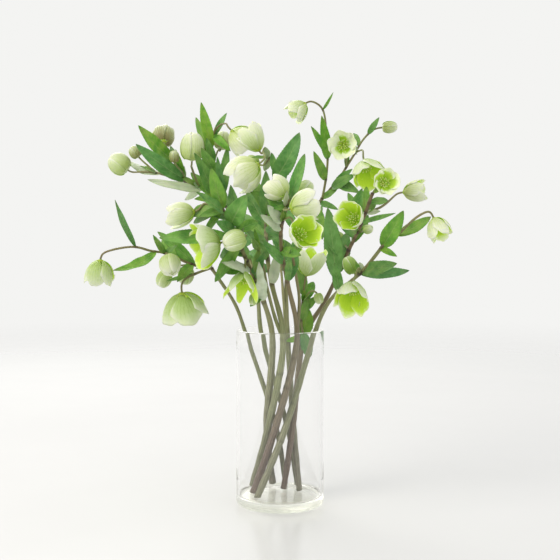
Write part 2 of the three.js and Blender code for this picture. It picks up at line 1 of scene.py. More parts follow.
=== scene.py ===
# %% [markdown]
# # A bunch of green hellebores in a clear glass vase
#
# A hellebore carries its flowers on branched, leafy stems, and most of them nod. The bunch here is
# eight such stems, cut and stood in a plain glass cylinder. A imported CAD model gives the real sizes
# and places: the vase, the run of every stem, where each leaf starts and ends, and where each
# flower hangs. This script grows finer plants over that frame. Every length is in metres, and up
# is +Z.

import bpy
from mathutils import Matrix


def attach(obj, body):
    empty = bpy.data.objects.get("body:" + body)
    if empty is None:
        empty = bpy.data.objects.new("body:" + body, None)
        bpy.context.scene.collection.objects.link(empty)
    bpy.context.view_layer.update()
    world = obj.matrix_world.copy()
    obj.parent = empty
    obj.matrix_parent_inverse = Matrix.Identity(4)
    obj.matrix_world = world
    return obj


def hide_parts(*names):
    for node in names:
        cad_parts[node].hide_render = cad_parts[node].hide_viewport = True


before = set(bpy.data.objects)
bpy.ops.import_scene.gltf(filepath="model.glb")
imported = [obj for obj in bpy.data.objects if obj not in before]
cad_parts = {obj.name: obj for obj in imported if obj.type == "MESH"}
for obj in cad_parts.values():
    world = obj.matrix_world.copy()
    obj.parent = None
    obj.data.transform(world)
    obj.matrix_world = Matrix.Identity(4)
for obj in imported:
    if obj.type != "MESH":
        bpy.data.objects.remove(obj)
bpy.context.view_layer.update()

# %% The other tools
import math
from collections import namedtuple

import bpy
import numpy as np
from mathutils import Vector

MM = 0.001
rng = np.random.default_rng(1107)

# %% [markdown]
# ## Where the bunch is looked at from
#
# The frame was arranged from one viewpoint, a little over a metre in front of the vase and level
# with the leaves. The camera stands on it and tips down slightly. It comes first, because the
# stems' places below are listed as seen from here. A long lens keeps the vase's sides upright.

# %% Camera
EYE_DISTANCE = 1.150
EYE_HEIGHT = 0.309
EYE_TIP = math.radians(2.63)
LENS_LENGTH = 65.06  # in mm, as is the width of the sensor
SENSOR_WIDTH = 36

lens = bpy.data.cameras.new("camera")
lens.lens = LENS_LENGTH
lens.sensor_width = SENSOR_WIDTH
camera = bpy.data.objects.new("camera", lens)
camera.location = (0, -EYE_DISTANCE, EYE_HEIGHT)
camera.rotation_euler = (math.pi / 2 - EYE_TIP, 0, 0)
bpy.context.scene.collection.objects.link(camera)
bpy.context.scene.camera = camera
print("camera at", tuple(camera.location))

# %% [markdown]
# ## Shader sums as plain sums
#
# A leaf's colour is worked out from a few masks, such as how near a point lies to the midrib. Each
# mask is a chain of Math nodes, which is hard to read when it is wired by hand. `Wire` holds one
# output socket and turns Python's own operators into those nodes, so that `1 - midrib` is a
# Subtract node. Colours go through Mix nodes, because a Math node would turn them grey.

# %% Wire
class Wire:
    """An output socket of a material's nodes, which can be added, multiplied and so on."""

    def __init__(self, socket):
        self.socket = socket

    def node(self, kind, settings=None, sockets=None, output=0):
        """Adds a node: its settings first, then the values or wires of its input sockets."""
        node = self.socket.id_data.nodes.new(kind)
        for name, value in (settings or {}).items():
            setattr(node, name, value)
        plug(node, sockets or {})
        return Wire(node.outputs[output])

    def math(self, operation, *values):
        return self.node("ShaderNodeMath", {"operation": operation}, dict(enumerate(values)))

    def __add__(self, other):
        return self.math("ADD", self, other)

    def __sub__(self, other):
        return self.math("SUBTRACT", self, other)

    def __mul__(self, other):
        return self.math("MULTIPLY", self, other)

    def __pow__(self, other):
        return self.math("POWER", self, other)

    def __rsub__(self, other):
        return self.math("SUBTRACT", other, self)

    __radd__ = __add__
    __rmul__ = __mul__

    def __abs__(self):
        return self.math("ABSOLUTE", self)

    def sine(self):
        return self.math("SINE", self)

    def or_any(self, *others):
        """1 where this wire or any of the others is 1."""
        either = self
        for other in others:
            either = self.math("MAXIMUM", either, other)
        return either

    def rise(self, start, end):
        """0 before start and 1 after end, smoothly between. Turned round if end is the lower."""
        low, high = sorted((start, end))
        span = {1: low, 2: high, 3: float(start > end), 4: float(start < end)}
        return self.node(
            "ShaderNodeMapRange", {"interpolation_type": "SMOOTHSTEP"}, {0: self, **span}
        )

    def tint(self, first, second):
        """A colour that goes from first to second as this wire goes from 0 to 1."""
        return self.node("ShaderNodeMix", {"data_type": "RGBA"}, {0: self, 6: first, 7: second}, 2)


def plug(node, sockets):
    """Sets a node's input sockets, each from a wire or to a plain value."""
    for name, value in sockets.items():
        if isinstance(value, Wire):
            node.id_data.links.new(value.socket, node.inputs[name])
        else:
            node.inputs[name].default_value = value


# %% Starting a finish
def paint(hexcode):
    """A colour written as on a paint card, such as 88aa55, as linear light."""
    parts = [int(hexcode[i : i + 2], 16) / 255 for i in (0, 2, 4)]
    linear = [p / 12.92 if p <= 0.04045 else ((p + 0.055) / 1.055) ** 2.4 for p in parts]
    return (*linear, 1.0)


def new_finish(name):
    """A material with its Principled shader, and a wire that gives each point's place."""
    finish = bpy.data.materials.new(name)
    finish.use_nodes = True
    nodes = finish.node_tree.nodes
    skin = nodes["Principled BSDF"]
    place = Wire(nodes.new("ShaderNodeTexCoord").outputs["Object"])
    return finish, skin, place


def spots(place, scale, detail=2.0, rough=0.5):
    """Soft noise from 0 to 1, with scale blotches to the metre."""
    sockets = {"Vector": place, "Scale": scale, "Detail": detail, "Roughness": rough}
    return place.node("ShaderNodeTexNoise", sockets=sockets)


def grown(place, name):
    """The three values that a piece's points carry under this name, as three wires."""
    carried = place.node("ShaderNodeAttribute", {"attribute_name": name}, output="Vector")
    parted = place.node("ShaderNodeSeparateXYZ", sockets={0: carried}).socket.node
    return [Wire(output) for output in parted.outputs]


def relief(skin, height, depth):
    """Lets a height, in parts of depth, shade the surface as a raised pattern would."""
    bump = {"Height": height, "Distance": depth, "Strength": 1.0}
    plug(skin, {"Normal": height.node("ShaderNodeBump", sockets=bump)})


def mix_in(finish, skin, share, other):
    """Lets another shader take the skin's place, as far as share goes from 0 to 1."""
    both = {0: share, 1: Wire(skin.outputs[0]), 2: other}
    mixed = share.node("ShaderNodeMixShader", sockets=both)
    plug(finish.node_tree.nodes["Material Output"], {"Surface": mixed})


def told(finish):
    """Hands a finish on and prints how many nodes it has."""
    print("finish:", finish.name, len(finish.node_tree.nodes), "nodes")
    return finish


# %% [markdown]
# ## The finishes
#
# Four finishes dress the plants. Each reads two sets of values that the meshes below carry at every
# point. `lie` says where a point lies on its own leaf, tepal or stem: across it, along it, and on
# which side, or how near a joint. `habit` says how that leaf, tepal or stem grew: its shade, its
# blush and a number of its own. So one finish gives a whole bunch in which no two leaves are alike.

# %% [markdown]
# ### Tepals
#
# The green hellebore's five tepals are what look like its petals. Inside they are a vivid lime, and
# the rim is almost white. Outside they are cream, with green only near the base and along the
# veins, which fan out from the base and meet again at the tip. They are thin enough to glow with
# the light behind them. So the shader lets light wander under the skin for a millimetre or so, and
# the hollow of a cup is given a painted glow of its own. It stands in for the light that comes
# through the sides of the cup, and it lifts the shadow deep inside the cup.

# %% Tepal skin
def tepal_finish():
    finish, skin, place = new_finish("tepal skin")
    across, along, inside = grown(place, "lie")
    shade, blush, own = grown(place, "habit")
    stray = spots(place, 240, 3) - 0.5
    fan = (across * 15 + own * 40 + stray * 3.5).sine()
    veins = abs(fan).rise(0.42, 0.0) * along.rise(1.05, 0.6)
    net = spots(place, 900, 4, 0.7).rise(0.5, 0.64)
    edge = abs(across) ** 5
    root = (along + stray * 0.3 + edge * 0.2).rise(0.85, 0.0)
    rim = edge * 0.1 + along + stray * 0.3
    hem = edge * 0.45 + along + stray * 0.2

    green = shade.tint(paint("b9cb70"), paint("7ba234"))
    cream = shade.tint(paint("e6eacc"), paint("a8c46c"))
    outside = (root * 0.85 + veins * 0.4 + net * 0.06).tint(cream, green)
    outside = (hem.rise(0.55, 1.2) * 0.75).tint(outside, paint("f1f2e4"))
    outside = (blush * (root * 0.7 + veins * 0.5 + 0.15)).tint(outside, paint("7c6a48"))

    lime = (veins * 0.4 + stray * 0.9).rise(0.0, 1.0).tint(paint("bcd452"), paint("9cbc34"))
    lime = (root * 0.9).tint(lime, paint("80ac20"))
    whitened = (rim + (1 - shade) ** 3 * 0.6).rise(0.9, 1.16)
    lining = (whitened * 0.95).tint(lime, paint("eef1dc"))

    # Painted glow: the inside of a cup gives off a little lime light of its own. It stands in for
    # light through the tepals and lifts the shadow in the cup, and it is weaker under the white rim.
    glow = root.tint(paint("b4d018"), paint("84b408"))
    glow = (whitened * 0.95).tint(glow, paint("a4a898"))
    relief(skin, veins * 0.6 + net * 0.2 + stray, 0.2 * MM)
    looks = {
        "Base Color": inside.tint(outside, lining),
        # The inside's emission is the painted glow worked out above.
        "Emission Color": inside.tint(paint("000000"), glow),
        "Emission Strength": 0.27,
        "Roughness": 0.5 + stray * 0.25 + veins * 0.08,
        "Specular IOR Level": 0.35,
        "Subsurface Weight": 0.35,
        "Subsurface Radius": (1.0, 1.0, 0.45),
        "Subsurface Scale": 0.7 * MM,
    }
    plug(skin, looks)
    return finish


TEPAL_SKIN = told(tepal_finish())

# %% [markdown]
# ### Leaves
#
# The leaves and the bracts under the flowers are leathery and slightly glossy above, from
# blue-green to a fresh mid green, and a dull grey-green below. The midrib is pale, and side veins
# leave it at a slant and fade before the edge. Leaves darken at the tip. The side veins are
# stripes of a sum of the two directions on the blade, so they keep their slant however the leaf is
# bent.

# %% Leaf skin
def leaf_finish():
    finish, skin, place = new_finish("leaf skin")
    across, along, under = grown(place, "lie")
    shade, blush, own = grown(place, "habit")
    stray = spots(place, 110, 3) - 0.5
    fine = spots(place, 1000, 3, 0.65) - 0.5
    midrib = abs(across).rise(0.1, 0.02) * along.rise(1.0, 0.4)
    slant = (along * 46 - abs(across) * 12 + own * 9 + stray * 4).sine()
    side_veins = slant.rise(0.6, 1.0) * abs(across).rise(0.95, 0.3)
    margin = abs(across).rise(0.8, 1.0)
    tip = (along + stray * 0.5).rise(0.84, 1.04)

    patch = (stray * 1.6 + 0.5).rise(0.0, 1.0)
    fresh = patch.tint(paint("52921a"), paint("8aba36"))
    bluish = patch.tint(paint("457c3e"), paint("72a660"))
    upper = shade.tint(bluish, fresh)
    upper = (own.rise(0.55, 1.0) * 0.3).tint(upper, paint("94b858"))
    upper = (side_veins * 0.1 + midrib * 0.22).tint(upper, paint("b4c984"))
    upper = (fine.rise(0.02, 0.3) * 0.2).tint(upper, paint("356325"))
    lower = patch.tint(paint("b8c8a4"), paint("dae3cc"))
    dull = patch.tint(paint("7c9c62"), paint("98b27c"))
    lower = (shade.rise(0.0, 0.4) * 0.8).tint(lower, dull)
    lower = (side_veins * 0.2 + midrib * 0.4).tint(lower, paint("d2dcc0"))
    lower = (fine.rise(0.05, 0.3) * 0.15).tint(lower, paint("7d9a68"))
    blade = under.tint(upper, lower)
    blade = (margin * 0.2).tint(blade, paint("6b7a48"))
    blade = (blush * patch * 0.9).tint(blade, paint("a09a50"))
    blade = (tip * 0.4).tint(blade, paint("555c3a"))

    relief(skin, fine * 0.6 - side_veins * 0.6 - midrib, 0.35 * MM)
    looks = {
        "Base Color": blade,
        "Roughness": 0.42 + under * 0.25 + stray * 0.25 + fine * 0.1,
        "Specular IOR Level": 0.28,
        "Subsurface Weight": 0.15,
        "Subsurface Radius": (0.7, 1.0, 0.3),
        "Subsurface Scale": 1.0 * MM,
    }
    plug(skin, looks)
    return finish


LEAF_SKIN = told(leaf_finish())

# %% [markdown]
# ### Stems
#
# A cut hellebore stem changes along its length. The woody foot that stood in water is a dull
# purple-grey, the middle is olive, and the young branches at the top flush red-brown. Joints, where
# a leaf or a branch leaves, are dark, and fine streaks run along the skin. The height above the
# table picks the shade of the stalks, because it is the foot of the bunch that stood in water.

# %% Stem skin
STREAKS = 9
FULL_TURN = 6.283


def stem_finish():
    finish, skin, place = new_finish("stem skin")
    around, _, joint = grown(place, "lie")
    youth, blush, own = grown(place, "habit")
    height = place.node("ShaderNodeSeparateXYZ", sockets={0: place}, output="Z")
    stray = spots(place, 120, 3) - 0.5
    fleck = spots(place, 1500, 2, 0.6)
    streak = (around * FULL_TURN * STREAKS + stray * 5).sine() * 0.5 + 0.5

    foot = (stray + 0.5).tint(paint("5f5254"), paint("998c86"))
    middle = (stray + 0.5).tint(paint("7b7b55"), paint("acaa8a"))
    stalk = (height + stray * 0.03).rise(0.04, 0.17).tint(foot, middle)
    upper = (stray + 0.5).tint(paint("837e48"), paint("aea676"))
    stalk = (height + stray * 0.04).rise(0.18, 0.27).tint(stalk, upper)
    stalk = (own.rise(0.2, 1.0) * 0.65).tint(stalk, paint("6a523c"))
    stalk = (own.rise(0.6, 0.0) * 0.45).tint(stalk, paint("86985a"))
    young = (stray + 0.5).tint(paint("8b9a50"), paint("b0b878"))
    bark = youth.tint(stalk, young)
    flush = blush * (stray * 1.5 + 0.5).rise(0.1, 0.9) * height.rise(0.2, 0.3)
    bark = (flush * 0.85).tint(bark, paint("6a3f26"))
    bark = (streak * 0.3).tint(bark, paint("4d4a30"))
    bark = (fleck.rise(0.62, 0.72) * 0.3).tint(bark, paint("c9c3aa"))
    bark = (joint.rise(0.0, 1.0) * 0.85).tint(bark, paint("33211c"))
    bark = joint.rise(-0.3, -0.9).tint(bark, paint("c9ab98"))

    relief(skin, streak * 0.7 + fleck * 0.5, 0.3 * MM)
    plug(skin, {"Base Color": bark, "Roughness": 0.34 + stray * 0.2 + streak * 0.15})
    return finish


STEM_SKIN = told(stem_finish())

# %% [markdown]
# ### Stamens and carpels
#
# The middle of an open flower holds many stamens with cream anthers, a ring of small green nectar
# cups and a few green seed pods. Their meshes carry a single shade, from the green of a pod to the
# cream of an anther, and the finish adds the grain of pollen. It also adds a faint painted glow in
# the same colour, which lifts the shadow deep in the cup.

# %% Flower heart
def heart_finish():
    finish, skin, place = new_finish("flower heart")
    shade, blush, _ = grown(place, "habit")
    grain = spots(place, 2600, 2, 0.6)
    pod = grain.tint(paint("8cb428"), paint("b0d040"))
    pollen = grain.tint(paint("d2dc78"), paint("e6eab0"))
    parts = shade.tint(pod, pollen)
    parts = (blush * 0.6).tint(parts, paint("8a7a38"))
    relief(skin, grain, 0.12 * MM)
    looks = {
        "Base Color": parts,
        # Painted glow: a faint emission in the parts' own colour lifts the shadow in the middle of
        # the cup.
        "Emission Color": parts,
        "Emission Strength": 0.08,
        "Roughness": 0.5 + grain * 0.3,
        "Subsurface Weight": 0.2,
        "Subsurface Scale": 1.0 * MM,
    }
    plug(skin, looks)
    return finish


FLOWER_HEART = told(heart_finish())

# %% [markdown]
# ### Glass
#
# The vase is clear glass with a faint green-yellow cast that only the thick base shows. A glass
# shader alone would keep lamps from the stems inside, since a ray to a lamp stops at the first
# wall. For those rays, for light bounced off the stems and for what would stay trapped in the wall,
# the glass is swapped for plain see-through. Faint smears keep it from looking like a drawing, and
# the base is frosted by the many small scratches of its foot.

# %% Vase glass
MOST_BOUNCES = 4  # after which light is let out of the glass


def glass_finish():
    finish, skin, place = new_finish("vase glass")
    smear = spots(place, 45, 4, 0.6)
    height = place.node("ShaderNodeSeparateXYZ", sockets={0: place}, output="Z")
    thick = height.rise(0.014, 0.006)
    relief(skin, spots(place, 28, 1), 0.15 * MM)
    looks = {
        "Base Color": thick.tint(paint("fefefe"), paint("eef0e2")),
        "Roughness": smear.rise(0.5, 0.85) * 0.03 + thick * 0.22,
        "Transmission Weight": 1.0,
        "IOR": 1.48,
    }
    plug(skin, looks)
    shadow = place.node("ShaderNodeLightPath", output="Is Shadow Ray")
    bounced = place.node("ShaderNodeLightPath", output="Is Diffuse Ray")
    bounces = place.node("ShaderNodeLightPath", output="Ray Depth")
    trapped = place.math("GREATER_THAN", bounces, MOST_BOUNCES)
    clear = place.node("ShaderNodeBsdfTransparent", sockets={"Color": paint("fdfdfc")})
    mix_in(finish, skin, shadow.or_any(bounced, trapped), clear)
    return finish


VASE_GLASS = told(glass_finish())

# %% [markdown]
# ## Meshes out of grids
#
# Everything that grows here is either a tube, such as a stem, or a thin blade, such as a leaf. Both
# are a grid of points bent into shape: a tube's grid closes on itself, and a blade's has two faces
# with a rim between them, so that each is a closed body with a real thickness. The grids are worked
# out as whole arrays, which is quick, and `Shape` gathers them into one mesh for each piece.

# %% Shape
class Shape:
    """Points and faces gathered for one piece, with the values that its finishes read."""

    def __init__(self):
        self.points, self.lies, self.habits = [], [], []
        self.faces, self.finishes = [], []
        self.count = 0

    def add(self, points, faces, lie, habit, finish=0):
        """Adds an array of points, with faces that count them from 0."""
        flat = points.reshape(-1, 3)
        self.points.append(flat)
        self.lies.append(np.broadcast_to(lie, points.shape).reshape(-1, 3))
        self.habits.append(np.broadcast_to(habit, points.shape).reshape(-1, 3))
        for batch in faces:
            self.faces += (batch + self.count).tolist()
            self.finishes += [finish] * len(batch)
        self.count += len(flat)

    def piece(self, name, finishes, slot, *nodes):
        """Makes the object, which rides on the frame and stands for its nodes."""
        points = np.concatenate(self.points)
        assert np.isfinite(points).all(), name + " has a point that is nowhere"
        mesh = bpy.data.meshes.new(name)
        mesh.from_pydata(points.tolist(), [], self.faces)
        for finish in finishes:
            mesh.materials.append(finish)
        mesh.polygons.foreach_set("material_index", self.finishes)
        mesh.polygons.foreach_set("use_smooth", [True] * len(mesh.polygons))
        for label, values in (("lie", self.lies), ("habit", self.habits)):
            layer = mesh.attributes.new(label, "FLOAT_VECTOR", "POINT")
            layer.data.foreach_set("vector", np.concatenate(values).ravel())
        mesh.update()
        thing = bpy.data.objects.new(name, mesh)
        bpy.context.scene.collection.objects.link(thing)
        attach(thing, "root")
        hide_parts(*nodes)
        return thing


# %% Grids of faces
def unit(vectors):
    return vectors / np.linalg.norm(vectors, axis=-1, keepdims=True)


def dot(a, b):
    return np.sum(a * b, axis=-1, keepdims=True)


def threes(*values):
    """Packs three numbers or arrays into an array of threes."""
    return np.stack(np.broadcast_arrays(*values), axis=-1).astype(float)


def weave(rows, columns, width):
    """The four-sided faces of a grid with width points in a row, which may close on itself."""
    row, column = np.mgrid[0:rows, 0:columns]
    right = (column + 1) % width
    corners = [row * width + column, row * width + right]
    corners += [(row + 1) * width + right, (row + 1) * width + column]
    return np.stack(corners, axis=-1).reshape(-1, 4)


def blade(shape, middle, normal, thick, lie, habit):
    """A thin closed body round a grid of points. The far face carries 1 - lie's last value."""
    rows, width = middle.shape[0] - 1, middle.shape[1]
    half = normal * (np.asarray(thick)[..., None] / 2)
    points = np.stack([middle + half, middle - half])
    far_lie = lie * (1, 1, -1) + (0, 0, 1)
    front = weave(rows, width - 1, width)
    count = middle.shape[0] * width
    index = np.arange(count).reshape(-1, width)
    ring = [index[0, :-1], index[:-1, -1], index[-1, :0:-1], index[:0:-1, 0]]
    ring = np.concatenate(ring)
    after = np.roll(ring, -1)
    rim = np.stack([ring, ring + count, after + count, after], axis=-1)
    shape.add(points, [front, front[:, ::-1] + count, rim], np.stack([lie, far_lie]), habit)


def tube(shape, line, radius, sides, lie, habit, finish=0, slant=0):
    """A round body along a line. lie's first value is set to how far round a point is. slant is
    how much of the start is cut off at an angle, in radii."""
    tangent = unit(np.gradient(line, axis=0))
    guide = np.zeros(3)
    guide[np.argmin(np.abs(tangent[0]))] = 1
    first = []
    for step in tangent:
        guide = guide - step * np.dot(guide, step)
        guide = guide / np.linalg.norm(guide)
        first.append(guide)
    first = np.array(first)[:, None]
    second = np.cross(tangent[:, None], first)
    turn = np.arange(sides) / sides
    circle = np.cos(turn * 2 * np.pi)[:, None] * first + np.sin(turn * 2 * np.pi)[:, None] * second
    points = line[:, None] + circle * np.asarray(radius)[:, None, None]
    if slant:
        rise = (1 + np.cos(turn * 2 * np.pi + slant))[:, None] * slant * radius[1] / 2
        fade = np.exp(-np.arange(len(line)) / 1.2)[:, None, None]
        points = points + fade * rise * tangent[0]
    rings = len(line)
    ends = [np.arange(sides)[None, ::-1], np.arange(sides)[None] + (rings - 1) * sides]
    spread = np.broadcast_to(np.asarray(lie, float)[:, None], points.shape).copy()
    spread[..., 0] = turn
    shape.add(points, [weave(rings - 1, sides, sides), *ends], spread, habit, finish)


def turned(shape, profile, sides, lie, habit, finish=0, shift=None):
    """A body turned on a lathe from [radius, height] points that start and end on its axis."""
    radius, height = np.array(profile[1:-1]).T
    turn = np.arange(sides) / sides * 2 * np.pi
    circle = threes(np.cos(turn), np.sin(turn), 0)
    points = circle * radius[:, None, None] + (0, 0, 1) * height[:, None, None]
    rows = len(radius)
    poles = np.array([[0, 0, profile[0][1]], [0, 0, profile[-1][1]]])
    points = np.concatenate([points.reshape(-1, 3), poles])
    if shift is not None:
        points = shift(points)
    bottom = rows * sides
    here = np.arange(sides)
    after = (here + 1) % sides
    base = np.stack([after, here, np.full(sides, bottom)], axis=-1)
    top = (rows - 1) * sides
    crown = np.stack([top + here, top + after, np.full(sides, bottom + 1)], axis=-1)
    shape.add(points, [weave(rows - 1, sides, sides), base, crown], lie, habit, finish)


# %% [markdown]
# ## The vase
#
# A blown cylinder, 100 mm across and 200 mm tall, with a wall under 3 mm and a base of solid glass.
# It is turned on a lathe from one profile: up the outside, over a fire-polished lip, down the
# inside, round a soft inner corner and across the floor. Real bases are thicker toward the wall,
# and a shallow dip is left underneath so that the vase stands on a ring.

# %% Vase
VASE_RADIUS = 50 * MM
VASE_HEIGHT = 200 * MM
VASE_WALL = 2.6 * MM
VASE_FLOOR = 10 * MM
VASE_CORNER = 3.5 * MM  # inside, between the wall and the floor
FOOT_ROUND = 5 * MM
FOOT_DIP = 0.8 * MM
FLOOR_DIP = 0.4 * MM
VASE_SIDES = 144


def arc(centre, radius, start, end, steps):
    """Points of an arc in the profile, from one angle to another in degrees."""
    swing = np.radians(np.linspace(start, end, steps))
    return [(centre[0] + radius * math.cos(a), centre[1] + radius * math.sin(a)) for a in swing]


def vase_profile():
    inner = VASE_RADIUS - VASE_WALL
    lip = VASE_WALL / 2
    stand = VASE_RADIUS - FOOT_ROUND
    dip = [(stand * share, FOOT_DIP * (1 - share**6)) for share in (0, 0.3, 0.6, 0.8, 0.9, 0.96)]
    walls = np.linspace(0, 1, 12)[1:-1]
    outside = [(VASE_RADIUS, FOOT_ROUND + w * (VASE_HEIGHT - FOOT_ROUND - lip)) for w in walls]
    inside = [(inner, VASE_HEIGHT - lip - w * (VASE_HEIGHT - VASE_FLOOR - lip)) for w in walls[:-1]]
    floor = inner - VASE_CORNER
    across = [(floor * share, VASE_FLOOR - FLOOR_DIP * (1 - share**2)) for share in (0.7, 0.35, 0)]
    return [
        *dip,
        *arc((stand, FOOT_ROUND), FOOT_ROUND, -90, 0, 11),
        *outside,
        *arc((VASE_RADIUS - lip, VASE_HEIGHT - lip), lip, 0, 180, 11),
        *inside,
        *arc((floor, VASE_FLOOR + VASE_CORNER), VASE_CORNER, 0, -90, 7),
        *across,
    ]


vase_shape = Shape()
turned(vase_shape, vase_profile(), VASE_SIDES, (0, 0, 0), (0, 0, 0))
vase = vase_shape.piece("glass_vase", [VASE_GLASS], "glass", "vase")
print("vase:", len(vase.data.polygons), "faces,", tuple(vase.dimensions))

# %% [markdown]
# ## Places in the bunch
#
# A place is listed in millimetres as [across, up, depth]. Across and up are measured on the upright
# plane through the vase's axis, and depth then slides the point along its line of sight. The bunch
# opens in depth over the mouth. These are the frame's own rules, so the two agree everywhere.

# %% Places
OPENING_HEIGHT = 130  # over the mouth, in which the depths grow to OPENING times the listed ones
OPENING = 1.8


def depth_of(spot):
    risen = min(max((spot[1] * MM - VASE_HEIGHT) / (OPENING_HEIGHT * MM), 0), 1)
    return spot[2] * MM * (1 + (OPENING - 1) * risen)


def reach_of(spot):
    """How much larger a thing at a place is than it looks on the plane through the axis."""
    return (EYE_DISTANCE + depth_of(spot)) / EYE_DISTANCE


def placed(spot):
    reach = reach_of(spot)
    up = EYE_HEIGHT + (spot[1] * MM - EYE_HEIGHT) * reach
    return np.array([spot[0] * MM * reach, depth_of(spot), up])


def facing(direction):
    across, up, depth = direction
    return unit(np.array([across, depth, up], float))


def in_vase(angle, radius, height):
    """A point inside the vase: its angle round the axis, distance from it in mm, and height."""
    turn = math.radians(angle)
    return np.array([radius * MM * math.cos(turn), radius * MM * math.sin(turn), height])


# %% Smooth lines
CURVE_STEPS = 24  # between two listed points, before the curve is cut into even steps


def smooth_line(points, step):
    """An even run of points on a centripetal Catmull-Rom curve."""
    p = np.array(points)
    p = np.vstack([2 * p[0] - p[1], p, 2 * p[-1] - p[-2]])
    s = np.linspace(0, 1, CURVE_STEPS, endpoint=False)[:, None]
    run = []
    for before, start, end, after in zip(p, p[1:], p[2:], p[3:]):
        lead, span, tail = (
            np.linalg.norm(b - a) ** 0.5 for a, b in ((before, start), (start, end), (end, after))
        )
        out = (start - before) / lead - (end - before) / (lead + span) + (end - start) / span
        into = (end - start) / span - (after - start) / (span + tail) + (after - end) / tail
        out, into = out * span, into * span
        square = 3 * (end - start) - 2 * out - into
        cube = 2 * (start - end) + out + into
        run.append(start + out * s + square * s**2 + cube * s**3)
    run = np.vstack([*run, p[-2]])
    gone = np.concatenate([[0], np.cumsum(np.linalg.norm(np.diff(run, axis=0), axis=1))])
    even = np.linspace(0, gone[-1], max(4, round(gone[-1] / step) + 1))
    return np.stack([np.interp(even, gone, run[:, axis]) for axis in range(3)], axis=-1)


# %% [markdown]
# ## The bunch, stem by stem
#
# Each stem stands on its foot, passes the waist of the bunch and leans out of the mouth. Then come
# the places that its stalk rises through, its limbs and its leaves. A limb starts on the stalk or
# on an earlier limb, and ends in a flower or a bud: the place of its middle, the way it faces, its
# radius and its length. A flare under 0 closes the cup again at its rim. `shade` runs from cream to
# lime, and `blush` adds the dusky brown that cold weather gives a bud. A leaf runs from its root to
# its tip, bowed toward the front and sagging by a share of its length. A pale one is turned over.
# `lobes` is how deeply the rim of a cup is notched. A shoot is a branch that carries leaves only.

# %% The stems
STEM_FACTS = "name girth foot waist mouth stalk limbs leaves shoots"
Stem = namedtuple("Stem", STEM_FACTS, defaults=((),))
OPEN_FACTS = "centre faces radius length flare shade blush slim lobes"
Open = namedtuple("Open", OPEN_FACTS, defaults=(0, 0.3, 0, 0, 0.4))
Closed = namedtuple("Closed", "centre faces radius length shade blush", defaults=(0.4, 0))
Leaf = namedtuple(
    "Leaf", "root tip width turn bow teeth shade pale sag", defaults=(0, 0.12, 0, None, 0, 0)
)

